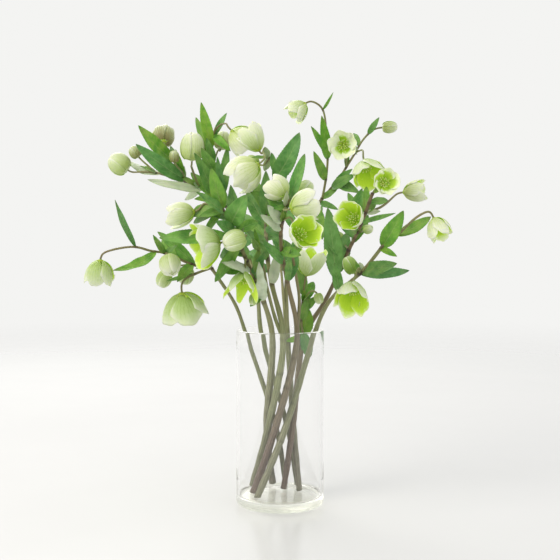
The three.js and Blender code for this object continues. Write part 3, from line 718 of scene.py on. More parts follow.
STEMS = [
    Stem(
        "far_left", girth=3, foot=(80, 39), waist=105, mouth=(178, 41),
        stalk=[(-50, 230, -2), (-62, 246, -6), (-78, 270, -12)],
        limbs=[
            ([(-78, 270, -12), (-101, 274, -18), (-130, 287, -26), (-147, 289, -30),
              (-163, 294, -34), (-184, 292, -38), (-199, 288, -40)],
             Open((-205, 266, -42), (-0.1, -1, 0.15), 16, 28, -0.14, 0.5)),
            ([(-78, 270, -12), (-97, 263, -20), (-110, 256, -26)],
             Open((-109, 228, -30), (0.15, -1, 0.3), 24.5, 30, 0.03, 0.75, lobes=0.3)),
            ([(-130, 287, -26)], Closed((-125, 273, -40), (0.2, -0.8, -0.6), 12, 24, 0.2)),
            ([(-101, 274, -18), (-117, 272, -10)],
             Closed((-132, 257, -8), (-0.5, -0.9, 0.1), 8.5, 19)),
            ([(-86, 272, -14), (-97, 274, -4)],
             Closed((-107, 261, 4), (-0.2, -1, 0.3), 9, 20, 0.5)),
        ],
        leaves=[
            Leaf((-141, 288, -29), (-190, 267, -50), 12, turn=20, sag=0.1),
            Leaf((-164, 294, -34), (-187, 347, -30), 7.5, turn=30, shade=0, sag=0.05),
            Leaf((-97, 274, -17), (-139, 311, -14), 12, turn=-20, sag=-0.05),
            Leaf((-97, 263, -20), (-129, 255, -22), 5, turn=10),
            Leaf((-99, 275, -18), (-117, 254, -34), 11),
            Leaf((-120, 280, -22), (-134, 302, -10), 9),
            Leaf((-84, 272, -13), (-94, 296, -20), 11),
        ],
    ),
    Stem(
        "upper_left", girth=2.9, foot=(60, 41), waist=55, mouth=(127, 40),
        stalk=[(-24, 232, 40), (-30, 265, 46), (-40, 296, 50), (-59, 340, 54), (-76, 352, 54),
               (-92, 362, 54)],
        limbs=[
            ([(-92, 362, 54), (-107, 368, 57), (-124, 373, 60), (-141, 378, 62), (-166, 378, 64)],
             Closed((-182, 388, 64), (-0.8, 0.6, 0), 12, 25, 0.3)),
            ([(-141, 378, 62), (-152, 388, 62)],
             Closed((-164, 401, 62), (-0.6, 0.8, 0), 6.5, 14, 0.4, 0.7)),
            ([(-107, 368, 57), (-121, 392, 54), (-128, 406, 52)],
             Open((-132, 417, 56), (-0.15, 0.55, 0.8), 13, 21, -0.2, 0.4, 0.9)),
            ([(-107, 368, 57), (-110, 378, 50)],
             Closed((-119.5, 396, 39), (-0.1, 1, -0.2), 5.5, 13, 0.5, 0.9)),
            ([(-92, 362, 54), (-96, 372, 50), (-101, 387, 44)],
             Closed((-99, 407, 40), (0.05, 1, -0.1), 13.5, 32, 0.3)),
            ([(-59, 340, 54), (-68, 362, 50), (-75, 388, 46), (-77, 410, 44), (-72, 429, 42),
              (-60, 434, 40)],
             Open((-45, 417, 36), (0.7, -0.6, 0.1), 17, 27, -0.08, 0.1)),
            ([(-75, 388, 46), (-69, 406, 52)],
             Closed((-65, 414, 56), (0.2, 0.95, 0.2), 9, 21, 0.4, 0.5)),
        ],
        leaves=[
            Leaf((-120, 391, 52), (-160, 431, 40), 17, turn=15, shade=0.8, sag=0.05),
            Leaf((-108, 369, 55), (-163, 410, 36), 17, turn=-15, sag=0.03),
            Leaf((-134, 376, 62), (-169, 390, 80), 15, turn=30, pale=1, sag=0.04),
            Leaf((-87, 358, 54), (-150, 370, 38), 13, turn=25, pale=1, sag=0.01),
            Leaf((-110, 378, 50), (-124, 408, 66), 8),
            Leaf((-77, 406, 44), (-89, 457, 36), 12, shade=0.9),
            Leaf((-74, 385, 46), (-95, 440, 60), 12, turn=10, shade=0.7),
            Leaf((-70, 369, 49), (-89, 406, 32), 15, turn=-10),
            Leaf((-63, 350, 52), (-97, 348, 36), 12),
            Leaf((-76, 417, 43), (-60, 445, 52), 7, turn=10),
            Leaf((-63, 352, 52), (-71, 396, 30), 10, shade=0.1),
            Leaf((-60, 342, 54), (-78, 379, 26), 13),
            Leaf((-75, 388, 46), (-83, 417, 38), 10, shade=0.3),
            Leaf((-74, 420, 43), (-56, 402, 36), 10, shade=0.8),
            Leaf((-110, 372, 56), (-118, 404, 44), 9, shade=0.9),
            Leaf((-40, 296, 50), (-24, 324, 34), 13, shade=0),
            Leaf((-44, 306, 51), (-66, 318, 36), 12, shade=0.1),
            Leaf((-34, 280, 48), (-50, 304, 38), 11, shade=0),
            Leaf((-52, 324, 53), (-38, 352, 44), 13, shade=0.2),
            Leaf((-70, 347, 53), (-97, 400, 30), 17, shade=0.3),
            Leaf((-64, 352, 52), (-59, 408, 40), 12, shade=0.2),
            Leaf((-50, 322, 52), (-56, 364, 30), 15, shade=0.1),
            Leaf((-77, 352, 54), (-101, 378, 60), 12, shade=0.6),
            Leaf((-90, 361, 54), (-108, 347, 62), 9, pale=1),
            Leaf((-31, 268, 46), (-20, 300, 58), 12, shade=0),
            Leaf((-40, 296, 50), (-56, 290, 60), 12, shade=0),
        ],
    ),
    Stem(
        "front_left", girth=4.2, foot=(103, 39), waist=165, mouth=(258, 38),
        stalk=[(-18, 230, -44), (-28, 255, -50), (-38, 277, -56), (-46, 299, -58), (-55, 320, -58),
               (-67, 339, -58)],
        limbs=[
            ([(-46, 299, -58), (-60, 309, -58)],
             Open((-82, 296, -66), (-0.9, -0.15, -0.22), 25, 30, 0.05, 0.7, lobes=0.25)),
            ([(-46, 299, -58), (-43, 307, -64)],
             Closed((-52, 301, -72), (-0.8, -0.3, -0.3), 12, 26, 0.4)),
            ([(-67, 339, -58), (-78, 342, -56), (-89, 344, -54)],
             Open((-111, 331, -52), (-0.95, -0.2, 0.1), 14, 30, -0.2, 0.2)),
            ([(-38, 277, -56), (-40, 280, -64)],
             Open((-43, 252, -74), (-0.15, -0.9, -0.55), 15, 32, 0.25, 0.9, slim=1)),
            ([(-28, 255, -50), (-25, 248, -54)],
             Closed((-30, 234, -58), (-0.2, -1, -0.1), 5, 13, 0.9)),
        ],
        leaves=[
            Leaf((-64, 335, -58), (-84, 311, -42), 9),
            Leaf((-33, 272, -55), (-66, 276, -78), 17, turn=20, pale=1),
            Leaf((-55, 320, -58), (-38, 353, -66), 20, turn=10, bow=0.2),
            Leaf((-20, 232, -45), (-24, 277, -72), 12, teeth=3, pale=1),
            Leaf((-66, 337, -58), (-78, 383, -66), 14),
            Leaf((-63, 333, -58), (-95, 356, -76), 12, turn=20),
            Leaf((-51, 310, -58), (-25, 323, -46), 12),
            Leaf((-46, 296, -58), (-74, 254, -60), 12),
            Leaf((-66, 336, -58), (-92, 328, -68), 9, shade=0.3),
            Leaf((-36, 270, -54), (-62, 264, -58), 10, shade=0.6),
            Leaf((-22, 240, -46), (-34, 226, -54), 8, shade=0.7),
            Leaf((-40, 284, -57), (-62, 302, -48), 12, shade=0.2),
            Leaf((-58, 324, -58), (-80, 338, -46), 11, shade=0.1),
            Leaf((-30, 260, -51), (-18, 288, -58), 10, shade=0.1),
            Leaf((-60, 306, -58), (-137, 304, -44), 16, bow=0.05, shade=0.5),
            Leaf((-67, 339, -58), (-98, 321, -40), 10, shade=0.3),
            Leaf((-67, 339, -58), (-102, 331, -46), 14, shade=0.2),
            Leaf((-50, 310, -58), (-73, 323, -68), 13, shade=0.1),
            Leaf((-44, 292, -57), (-68, 284, -44), 14, shade=0.1),
        ],
    ),
    Stem(
        "centre", girth=4, foot=(143, 42), waist=205, mouth=(276, 40),
        stalk=[(-9, 247, -30), (-14, 277, -22), (-16, 302, -14), (-16, 331, -8), (-12, 354, -6),
               (-5, 376, -4)],
        limbs=[
            ([(-5, 376, -4), (-12, 394, 0), (-18, 408, 4)],
             Open((-30, 414, 10), (-0.45, 0.8, 0.25), 15, 29, -0.05, 0.25)),
            ([(-12, 394, 0), (-20, 402, -8)],
             Open((-38, 378, -20), (-0.8, -0.55, 0.12), 20.5, 35, -0.16, 0.1)),
            ([(-12, 394, 0), (-18, 386, 5)],
             Closed((-31, 391, 10), (-0.85, 0.5, 0.2), 6, 15, 0.8)),
        ],
        leaves=[
            Leaf((-16, 331, -8), (-16, 380, -28), 15),
            Leaf((-6, 371, -5), (22, 423, -16), 20, shade=0.1, sag=0.1),
            Leaf((-16, 304, -13), (-41, 331, 8), 13),
            Leaf((-14, 277, -22), (-32, 307, 2), 11, turn=10),
            Leaf((-12, 350, -6), (7, 380, 10), 13),
            Leaf((-15, 319, -10), (8, 342, -20), 12),
            Leaf((-16, 333, -8), (-30, 370, 4), 13, shade=0.4),
            Leaf((-15, 296, -16), (-39, 312, -30), 12, shade=0),
            Leaf((-14, 285, -20), (-35, 288, -4), 10, shade=0.1),
            Leaf((-10, 250, -30), (-2, 290, -42), 11, pale=1),
            Leaf((-14, 280, -22), (-28, 302, -36), 10, shade=0.2),
            Leaf((-16, 310, -12), (4, 330, -2), 12, shade=0),
            Leaf((-14, 344, -7), (-34, 356, -16), 11, shade=0.5),
            Leaf((-16, 316, -10), (-37, 356, 6), 16, shade=0.1),
            Leaf((-12, 266, -26), (-30, 274, -12), 11, shade=0),
            Leaf((-16, 300, -14), (2, 318, 6), 12, shade=0),
        ],
        shoots=[[(4, 188, -38), (-5, 211, -37), (-14, 245, -44), (-20, 277, -50), (-24, 290, -52)]],
    ),
    Stem(
        "front_centre", girth=4.1, foot=(186, 31), waist=245, mouth=(300, 40),
        stalk=[(13, 233, -46), (8, 256, -52), (3, 279, -56), (0, 302, -58), (1, 323, -60),
               (7, 339, -60)],
        limbs=[
            ([(7, 339, -60)], Open((-1, 358, -60), (-0.6, 0.45, 0.4), 15, 24, -0.12, 0)),
            ([(7, 339, -60)], Open((25, 340, -72), (0.8, 0.2, 0.3), 18, 30, -0.05, 0.1)),
            ([(7, 339, -60), (17, 348, -52)],
             Closed((29, 360, -48), (0.6, 0.7, 0.1), 8.5, 19, 0.5)),
            ([(1, 323, -60), (14, 327, -70)],
             Open((25, 309, -84), (0.42, 0.2, -0.88), 18.5, 27, 0.02, 0.45, lobes=0.26)),
        ],
        leaves=[
            Leaf((1, 320, -60), (-14, 341, -68), 11, pale=1),
            Leaf((8, 254, -51), (12, 291, -66), 8, teeth=3),
            Leaf((9, 341, -59), (28, 399, -46), 11),
            Leaf((5, 277, -55), (-21, 302, -72), 10),
            Leaf((1, 316, -60), (-22, 330, -70), 13, turn=20, pale=1),
            Leaf((0, 306, -58), (-16, 316, -50), 11, shade=0),
            Leaf((8, 254, -51), (20, 286, -42), 11, shade=0.1),
            Leaf((8, 340, -60), (38, 352, -50), 10, pale=1),
            Leaf((2, 290, -57), (24, 284, -70), 12, shade=0.6),
            Leaf((4, 332, -60), (-14, 352, -54), 12, shade=0.4),
        ],
        shoots=[[(20, 196, -35), (22, 233, -40), (18, 262, -46), (14, 285, -50)]],
    ),
    Stem(
        "right", girth=3.8, foot=(226, 37), waist=285, mouth=(352, 41),
        stalk=[(53, 230, -14), (67, 245, -20), (91, 262, -28), (112, 289, -34), (120, 299, -36)],
        limbs=[
            ([(120, 299, -36), (133, 307, -38), (154, 327, -42), (169, 335, -44)],
             Open((179, 316, -46), (0.35, -0.9, -0.35), 13, 25, -0.14, 0.2)),
            ([(91, 262, -28), (90, 272, -36)],
             Open((82, 240, -50), (-0.15, -0.7, -0.7), 18.5, 34, 0.04, 0.4)),
            ([(94, 265, -29), (90, 272, -20)],
             Closed((80, 273, -12), (-0.4, 0.8, 0.1), 8, 21, 1.1)),
        ],
        leaves=[
            Leaf((116, 295, -35), (140, 335, -44), 17),
            Leaf((133, 306, -38), (171, 328, -26), 12, bow=0.05, sag=0.03),
            Leaf((114, 293, -34), (133, 283, -46), 7),
            Leaf((94, 263, -29), (133, 275, -44), 15, bow=0.05),
            Leaf((92, 261, -28), (147, 267, -14), 12, bow=0.05, shade=0, sag=0.02),
            Leaf((67, 245, -20), (62, 276, -26), 11, shade=0.2),
        ],
    ),
    Stem(
        "upper_right", girth=3.5, foot=(72, 13), waist=330, mouth=(40, 41),
        stalk=[(49, 226, 18), (65, 262, 12), (78, 291, 8), (89, 311, 4), (97, 333, 0),
               (105, 355, -2)],
        limbs=[
            ([(105, 355, -2), (113, 366, -2)],
             Open((119, 367, -14), (0.2, 0, -0.97), 13.5, 15, 0.12, 0.1, lobes=0.34)),
            ([(89, 311, 4), (76, 318, -6)],
             Open((82, 327, -28), (-0.4, 0.2, -0.88), 15.5, 24, 0.05, 0.4, lobes=0.3)),
            ([(89, 311, 4), (94, 311, -2)], Closed((100, 314, -8), (0.8, 0.2, -0.4), 5, 11, 0.5)),
            ([(97, 333, 0), (115, 339, 6), (131, 353, 10)],
             Open((152, 357, 10), (0.95, 0.1, -0.2), 12, 26, -0.16, 0.25, 0.4)),
            ([(78, 291, 8), (74, 296, 18)], Closed((63, 302, 28), (-0.7, 0.4, 0.5), 10, 22, 0.6)),
            ([(29, 187, 20), (24, 212, 4), (26, 233, 0)],
             Open((33, 275, -10), (0.2, 0.9, -0.2), 17, 30, -0.03, 0.5)),
            ([(26, 233, 0), (36, 245, -8)], Closed((44, 235, -14), (0.3, -0.9, -0.2), 5, 12, 0.6)),
        ],
        leaves=[
            Leaf((64, 258, 12), (54, 338, 6), 20, shade=0, sag=-0.03),
            Leaf((66, 264, 12), (76, 310, 26), 16, shade=0),
            Leaf((92, 319, 2), (77, 355, 14), 10),
            Leaf((101, 345, -1), (122, 347, 8), 9),
            Leaf((93, 323, 2), (131, 332, -16), 6),
            Leaf((26, 231, 0), (38, 254, 14), 12),
            Leaf((24, 210, 5), (32, 237, -6), 10),
            Leaf((25, 190, 12), (32, 224, 12), 18, shade=0.8),
            Leaf((28, 192, 20), (35, 168, 24), 13, shade=0),
            Leaf((26, 222, 2), (45, 238, -8), 10, shade=0.5),
            Leaf((94, 325, 1), (98, 362, 12), 11, shade=0.6),
            Leaf((74, 282, 9), (50, 304, 4), 12, shade=0.1),
            Leaf((82, 298, 7), (100, 330, 16), 11, shade=0.3),
            Leaf((26, 240, 0), (22, 276, -4), 12, shade=0.2),
            Leaf((78, 316, -6), (93, 360, -14), 15, shade=0.3),
            Leaf((84, 303, 6), (66, 330, 22), 12, shade=0.1),
        ],
    ),
    Stem(
        "top", girth=3.4, foot=(20, 24), waist=8, mouth=(78, 40),
        stalk=[(7, 233, 44), (7, 260, 47), (12, 285, 50), (23, 308, 52), (39, 333, 52),
               (48, 349, 50)],
        limbs=[
            ([(48, 349, 50), (52, 371, 46), (54, 395, 44), (52, 417, 42), (51, 439, 40),
              (47, 452, 38), (37, 458, 36)],
             Open((21, 449, 34), (-0.75, -0.65, -0.1), 12, 22, -0.1, 0.2)),
            ([(48, 349, 50), (66, 370, 48), (75, 384, 46), (85, 400, 42), (93, 414, 40),
              (106, 427, 38)],
             Closed((124, 429, 36), (1, 0.05, 0), 6.5, 17, 0.4, 0.3)),
            ([(75, 384, 46), (75, 399, 38)],
             Open((71, 409, 16), (-0.1, -0.1, -0.98), 15, 19, 0.12, 0)),
            ([(85, 400, 42), (94, 404, 34)],
             Open((99, 380, 20), (0.2, -0.75, -0.6), 19, 28, 0.06, 0.5)),
        ],
        leaves=[
            Leaf((54, 398, 44), (35, 430, 40), 8),
            Leaf((54, 394, 44), (47, 442, 22), 12),
            Leaf((52, 369, 46), (38, 402, 34), 11, sag=0.04),
            Leaf((48, 448, 39), (60, 468, 34), 3.5, sag=0.06),
            Leaf((99, 421, 39), (112, 440, 34), 7),
            Leaf((90, 408, 41), (83, 422, 50), 8),
            Leaf((41, 337, 52), (48, 302, 38), 14),
            Leaf((46, 345, 51), (66, 336, 40), 8),
            Leaf((23, 308, 52), (1, 341, 60), 12),
            Leaf((62, 365, 48), (82, 382, 40), 9, shade=0.3),
            Leaf((12, 285, 50), (32, 314, 44), 13, shade=0.1),
            Leaf((8, 266, 48), (-10, 294, 46), 12, shade=0),
            Leaf((30, 320, 52), (14, 352, 44), 12, shade=0.3),
            Leaf((10, 278, 49), (-12, 314, 40), 12, shade=0),
            Leaf((58, 360, 48), (86, 376, 34), 12, shade=0.2),
            Leaf((63, 367, 48), (90, 355, 36), 13, shade=0.2),
            Leaf((14, 290, 50), (-8, 300, 62), 13, shade=0),
            Leaf((28, 314, 52), (48, 340, 62), 13, shade=0.1),
        ],
        shoots=[[(9, 190, 38), (6, 212, 39), (4, 235, 41), (1, 270, 44), (-2, 290, 46)]],
    ),
]
print(len(STEMS), "stems,", sum(len(stem.limbs) for stem in STEMS), "flowers and buds")

# %% [markdown]
# ## Leaves
#
# A hellebore's upper leaves are lance-shaped and folded a little along the midrib, with a finely
# toothed edge. The blade is a grid along a bowed midrib. Its width follows one curve from root to
# tip, with every third row stepped in to make the forward-pointing teeth. The midrib is a channel
# above and a ridge below, the edge waves softly, and the tip of each leaf turns a little.

# %% Leaf blades
LEAF_THICKNESS = 0.45 * MM
LEAF_ROOT = 1.1 * MM  # half width where the blade leaves the stem
LEAF_TIP = 0.25 * MM
LEAF_BELLY = 0.8
LEAF_BLUNTNESS = 0.7
LEAF_BREADTH = 1.1
LEAF_FOLD = 0.28
LEAF_NOTCH = 0.78
LEAF_TWIST = 0.22  # spread of the turn from root to tip, in radians
LEAF_WAVE = 0.07
PALE_FOLD = -0.6  # a leaf that is turned over folds the other way, and less
MIDRIB_DEPTH = 0.25 * MM
MIDRIB_SWELL = 1.3
TOOTH_LENGTH = 3.6 * MM
TOOTH_DEPTH = 0.04
LEAF_COLUMNS = 12


def leaf_blade(shape, root, tip, width, turn, bow, teeth, habit, pale=0, sag=0):
    """One leaf of a length and width in metres, rolled by turn from facing the front."""
    way = unit(tip - root)
    length = np.linalg.norm(tip - root)
    face = np.array([0, -1, 0.35])
    face = unit(face - way * np.dot(face, way))
    roll = math.radians(turn)
    face = face * math.cos(roll) + np.cross(way, face) * math.sin(roll)
    front = np.array([0, -1, 0]) - way * np.dot((0, -1, 0), way)
    above = np.array([0, 0, 1]) - way * np.dot((0, 0, 1), way)
    crest = (root + tip) / 2 + (front * bow - above * sag) * 2 * length

    count = max(5, round(length / TOOTH_LENGTH))
    rows = 3 * count
    v = np.linspace(0, 1, rows + 1)[:, None]
    u = np.linspace(-1, 1, LEAF_COLUMNS + 1)[None]
    midrib = root * (1 - v) ** 2 + crest * 2 * v * (1 - v) + tip * v**2
    run = unit((crest - root) * (1 - v) + (tip - crest) * v)
    normal = unit(face - run * dot(run, face))
    twist = rng.normal(0, LEAF_TWIST) * (v - 0.2) * v
    square = np.cross(run, normal)
    square, normal = (
        square * np.cos(twist) + normal * np.sin(twist),
        normal * np.cos(twist) - square * np.sin(twist),
    )

    half = np.sin(np.pi * v**LEAF_BELLY).clip(0) ** LEAF_BLUNTNESS * width / 2
    half = half * (1 - TOOTH_DEPTH * (np.arange(rows + 1) % 3)[:, None] / 2)
    if teeth:
        half = half * (1 - (1 - LEAF_NOTCH) * (0.5 + 0.5 * np.cos(2 * np.pi * v * teeth)))
    half = np.maximum(half, LEAF_ROOT * (1 - v) + LEAF_TIP * v)

    fold = LEAF_FOLD * (PALE_FOLD if pale else 1)
    wave = np.sin(v * rng.uniform(9, 15) + rng.uniform(0, 6) + (u > 0) * 2.0)
    lift = np.abs(u) ** 1.4 * half * fold
    lift = lift + LEAF_WAVE * width * wave * u**2 * v * (1 - v) * 3
    lift = lift - MIDRIB_DEPTH * np.exp(-((u / 0.12) ** 2)) * (1 - v)
    middle = midrib[:, None] + square[:, None] * (u * half)[..., None]
    middle = middle + normal[:, None] * lift[..., None]
    thick = LEAF_THICKNESS * (0.55 + 0.45 * (1 - np.abs(u)))
    thick = np.broadcast_to(thick * (1 + MIDRIB_SWELL * np.exp(-((u / 0.1) ** 2))), lift.shape)
    lie = threes(u, v, float(bool(pale)))
    blade(shape, middle, normal[:, None] + 0 * middle, thick, lie, habit)


# %% [markdown]
# ## Tepals
#
# A tepal is part of a cup that turns about the flower's axis. The cup's line is a quarter ellipse
# from the stalk to the rim, which flares or closes near the tip. A tepal is broad and rounded, and
# each lies with one edge over its neighbour and the other under. Its edges lean in and ripple, so
# that the rim is scalloped rather than turned. A bud is the same five tepals wrapped round an egg.

# %% Cups and eggs
TEPALS = 5
TEPAL_THICKNESS = 0.5 * MM
TEPAL_START = 0.12
TEPAL_LIFT = 1.6 * MM
TIP_ARCH = 2.2
TIP_POINT = 0.02
PLEATS = 11  # in radians from the middle to one edge
PLEAT_DEPTH = 0.1 * MM
BUD_ROUNDING = 0.2
RIM_WAVES = 0.02  # how far the rim's scallops reach, as a share of the tepal
CLOSING = 2.0  # how much farther round a cup goes for each part of flare below 0
FIRST_TEPAL = -0.3 * math.pi
TEPAL_ROWS = 18
TEPAL_COLUMNS = 14
SMALL_STEP = 0.01


def cup_line(radius, length, flare):
    """Radius and height along an open flower's tepal, for t from 0 at the stalk to 1 at the rim."""
    turned_by = np.pi / 2 * (1 + CLOSING * max(-flare, 0))
    tall = (length - TEPAL_LIFT) / (1 - np.cos(turned_by))

    def line(t):
        swing = t * turned_by
        bulge = np.sin(swing) + max(flare, 0) * t**3
        return radius * bulge, TEPAL_LIFT + tall * (1 - np.cos(swing))

    return line


def egg_line(radius, length):
    """The same along a bud's tepal, which closes at the tip."""

    def line(t):
        swing = (0.04 + 0.95 * t) * np.pi
        bulge = np.sin(swing).clip(0) ** 0.75 * (1 + 0.08 * np.cos(swing))
        return radius * bulge, length * (1 - np.cos(swing)) / 2

    return line


def tepal(shape, line, turn, spread, looks, habit, turned_to):
    """One tepal along a line. spread gives half its angle, from root to tip."""
    lap, cup, ruffle, curl, reach, rounding = looks
    v = np.linspace(0, 1, TEPAL_ROWS + 1)[:, None]
    u = np.linspace(-1, 1, TEPAL_COLUMNS + 1)[None]
    arch = 1 - rounding * np.abs(u) ** TIP_ARCH + TIP_POINT * np.exp(-((u / 0.14) ** 2))
    arch = arch + RIM_WAVES * np.sin(u * rng.uniform(7, 11) + rng.uniform(0, 6))
    t = TEPAL_START + (reach - TEPAL_START) * v * (1 + (arch - 1) * v**2)
    radius, height = line(t)
    before, after = line(t - SMALL_STEP), line(t + SMALL_STEP)
    slope = unit(threes(after[0] - before[0], after[1] - before[1], 0))
    out, down = slope[..., 1], -slope[..., 0]
    wave = np.sin(u * rng.uniform(5, 8) + v * 2 + rng.uniform(0, 6))
    pleats = np.cos(u * PLEATS + rng.uniform(-0.5, 0.5)) * np.sin(v * np.pi)
    edge = np.abs(u) ** 2
    offset = u * lap - cup * edge * (0.3 + 0.7 * v) + ruffle * wave * (0.3 * edge + v**3) * v
    offset = offset + curl * v**5 + PLEAT_DEPTH * pleats
    angle = turn + u * spread(v)
    ring = radius + out * offset
    middle = threes(ring * np.cos(angle), ring * np.sin(angle), height + down * offset)
    normal = unit(threes(out * np.cos(angle), out * np.sin(angle), down + 0 * angle))
    thick = TEPAL_THICKNESS * (1 - 0.45 * np.maximum(edge, v**3))
    lie = threes(u, v, 0)
    blade(shape, turned_to(middle), turned_to(normal, True), thick, lie, habit)


def open_spread(v):
    """Half the angle of an open flower's tepal: broad, and a little narrower at both ends."""
    return 1.02 - 0.34 * (1 - v) ** 2 - 0.1 * v**3


def slim_spread(v):
    """The same for a tepal that narrows to a point."""
    return 0.78 - 0.12 * (1 - v) ** 2 - 0.4 * v**3


def bud_spread(v):
    return 0.86 + 0.1 * np.sin(np.pi * v)


# %% [markdown]
# ## Flower hearts
#
# Inside the tepals sit a ring of green nectar cups, many stamens and a few seed pods with curved
# tips. The stamens stand on the dome in the golden-angle spiral that plants use, each a bent thread
# with an oval anther on it. All are cut with few sides, since each is a few millimetres long.

# %% Stamens, pods and nectar cups
GOLDEN_TURN = math.pi * (3 - 5**0.5)
STAMENS = 24
PODS = 4
NECTAR_CUPS = 9
STAMEN_SHADE = 0.45
ANTHER_SHADE = 0.95
POD_SHADE = 0.0
NECTAR_SHADE = 0.2
STAMEN_RADII = (0.22 * MM, 0.16 * MM)  # at the root and at the tip, as the next two
POD_RADII = (1.15 * MM, 0.25 * MM)
NECTAR_RADII = (0.6 * MM, 1.0 * MM)
ANTHER_SIZE = 0.95 * MM
CORE_SIDES = 10


def thread(shape, line, radii, shade, own, turned_to):
    """A thin bent thread, such as a stamen's, from its first point over the second to the third."""
    start, middle, end = line
    s = np.linspace(0, 1, 5)[:, None]
    line = start * (1 - s) ** 2 + middle * 2 * s * (1 - s) + end * s**2
    width = radii[0] + (radii[1] - radii[0]) * s[:, 0]
    habit = (shade, 0, own)
    tube(shape, turned_to(line), width, 4, threes(0, s[:, 0], 0), habit, 1)


def outward(turn):
    """The level direction at an angle round a flower's axis."""
    return np.array([math.cos(turn), math.sin(turn), 0])


def anther(shape, centre, way, size, own, turned_to):
    """An oval of pollen, along a direction."""
    s = np.linspace(0, 1, 5)
    line = centre + way * ((s - 0.5) * 2 * size)[:, None]
    width = size * 0.62 * np.array([0.35, 0.9, 1, 0.9, 0.35])
    habit = (ANTHER_SHADE, 0.6 * (own > 0.8), own)
    tube(shape, turned_to(line), width, 5, threes(0, s, 0), habit, 1)


def heart(shape, radius, length, turned_to):
    """The middle of an open flower."""
    base = np.array([0, 0, TEPAL_LIFT])
    dome = 1.4 * MM + radius * 0.1
    tall = TEPAL_LIFT + length * 0.42
    wide = min(radius * 0.5, 6 * MM + radius * 0.1)
    knob = [(0, 0), (1.7 * MM, 0), (dome * 1.2, 1.4 * MM), (dome, 3.2 * MM)]
    knob += [(dome * 0.6, 4.2 * MM), (0, 4.6 * MM)]
    turned(shape, knob, CORE_SIDES, (0, 0, 1), (POD_SHADE, 0.5, 0.5), 1, turned_to)
    for k in range(STAMENS):
        turn = k * GOLDEN_TURN
        share = math.sqrt((k + 0.5) / STAMENS)
        out = outward(turn)
        start = base + out * dome * share * 0.9 + (0, 0, 2 * MM * (1 - share))
        lean = share * wide * rng.uniform(0.8, 1.15)
        end = out * lean + (0, 0, tall * (1 - 0.3 * share**2) * rng.uniform(0.85, 1.05))
        middle = start * 0.35 + end * 0.65 + out * (-0.2) * lean
        own = rng.random()
        thread(shape, (start, middle, end), STAMEN_RADII, STAMEN_SHADE, own, turned_to)
        way = unit(unit(end - middle) + out * 0.8)
        anther(shape, end, way, ANTHER_SIZE, own, turned_to)
    for k in range(PODS):
        turn = (k + 0.5) / PODS * 2 * math.pi
        out = outward(turn)
        start = base + out * 0.8 * MM + (0, 0, 2 * MM)
        middle = start + (0, 0, tall * 0.7) + out * 0.6 * MM
        end = start + (0, 0, tall * 0.82) + out * 3.4 * MM
        thread(shape, (start, middle, end), POD_RADII, POD_SHADE, rng.random(), turned_to)
    for k in range(NECTAR_CUPS):
        turn = (k + rng.uniform(-0.2, 0.2)) / NECTAR_CUPS * 2 * math.pi
        out = outward(turn)
        start = base + out * dome
        middle = start + out * radius * 0.16 + (0, 0, 0.6 * MM)
        end = start + out * radius * 0.2 + (0, 0, length * 0.14)
        thread(shape, (start, middle, end), NECTAR_RADII, NECTAR_SHADE, rng.random(), turned_to)


# %% [markdown]
# ## Setting a flower on its stalk
#
# A flower is shaped upright at the origin and then turned to the way it faces. Its seat, where the
# stalk ends, lies half its length behind its middle, and the stalk comes to it straight.

# %% Seats
SEAT_GAP = 0.3  # mm between the stalk's end and the seat
APPROACH = 0.25  # share of the flower's length over which the stalk is straight


def sized(bloom):
    """A bloom's radius and length in metres, at its place."""
    size = reach_of(bloom.centre)
    return bloom.radius * MM * size, bloom.length * MM * size


def seat_of(bloom):
    """The way a bloom faces, the middle of its seat, and the last points of its stalk."""
    axis = facing(bloom.faces)
    _, length = sized(bloom)
    seat = placed(bloom.centre) - axis * length / 2
    return axis, seat, [seat - axis * length * APPROACH, seat - axis * SEAT_GAP * MM]


def turner(bloom):
    """A function that sets points, or directions, of an upright flower where the bloom is."""
    axis, seat, _ = seat_of(bloom)
    spin = np.array(Vector((0, 0, 1)).rotation_difference(Vector(axis)).to_matrix())

    def turned_to(points, only_turn=False):
        return points @ spin.T + (0 if only_turn else seat)

    return turned_to


# %% Flowers and buds
def open_flower(shape, bloom):
    radius, length = sized(bloom)
    turned_to = turner(bloom)
    lap = max(1.0 * MM, radius * 0.07)
    spread = slim_spread if bloom.slim else open_spread
    for k in range(TEPALS):
        flare = bloom.flare + rng.uniform(-0.07, 0.06)
        line = cup_line(radius, length, flare)
        turn = FIRST_TEPAL + k / TEPALS * 2 * math.pi + rng.uniform(-0.08, 0.08)
        habit = (bloom.shade + rng.uniform(-0.12, 0.12), bloom.blush, rng.random())
        cup, curl = radius * rng.uniform(0.02, 0.08), radius * rng.uniform(-0.05, 0.09)
        rounding = bloom.lobes * rng.uniform(0.85, 1.15)
        looks = (lap, cup, radius * 0.06, curl, rng.uniform(0.97, 1.07), rounding)
        tepal(shape, line, turn, spread, looks, habit, turned_to)
    heart(shape, radius, length, turned_to)


def bud(shape, bloom):
    radius, length = sized(bloom)
    turned_to = turner(bloom)
    line = egg_line(radius, length)
    for k in range(TEPALS):
        turn = k / TEPALS * 2 * math.pi
        habit = (bloom.shade + rng.uniform(-0.1, 0.1), bloom.blush, rng.random())
        lap = 0.5 * MM + radius * 0.02
        looks = (lap, radius * 0.05, 0, 0, rng.uniform(0.96, 1.0), BUD_ROUNDING)
        tepal(shape, line, turn, bud_spread, looks, habit, turned_to)
    core = [line(np.float64(t)) for t in np.linspace(0.02, 0.98, 9)]
    core = [(r * 0.88, z) for r, z in core]
    core = [(0, 0), (1.7 * MM, 0), *core[1:-1], (0, length * 0.97)]
    turned(shape, core, CORE_SIDES, (0, 0.4, 0), (bloom.shade, bloom.blush, 0.5), 0, turned_to)


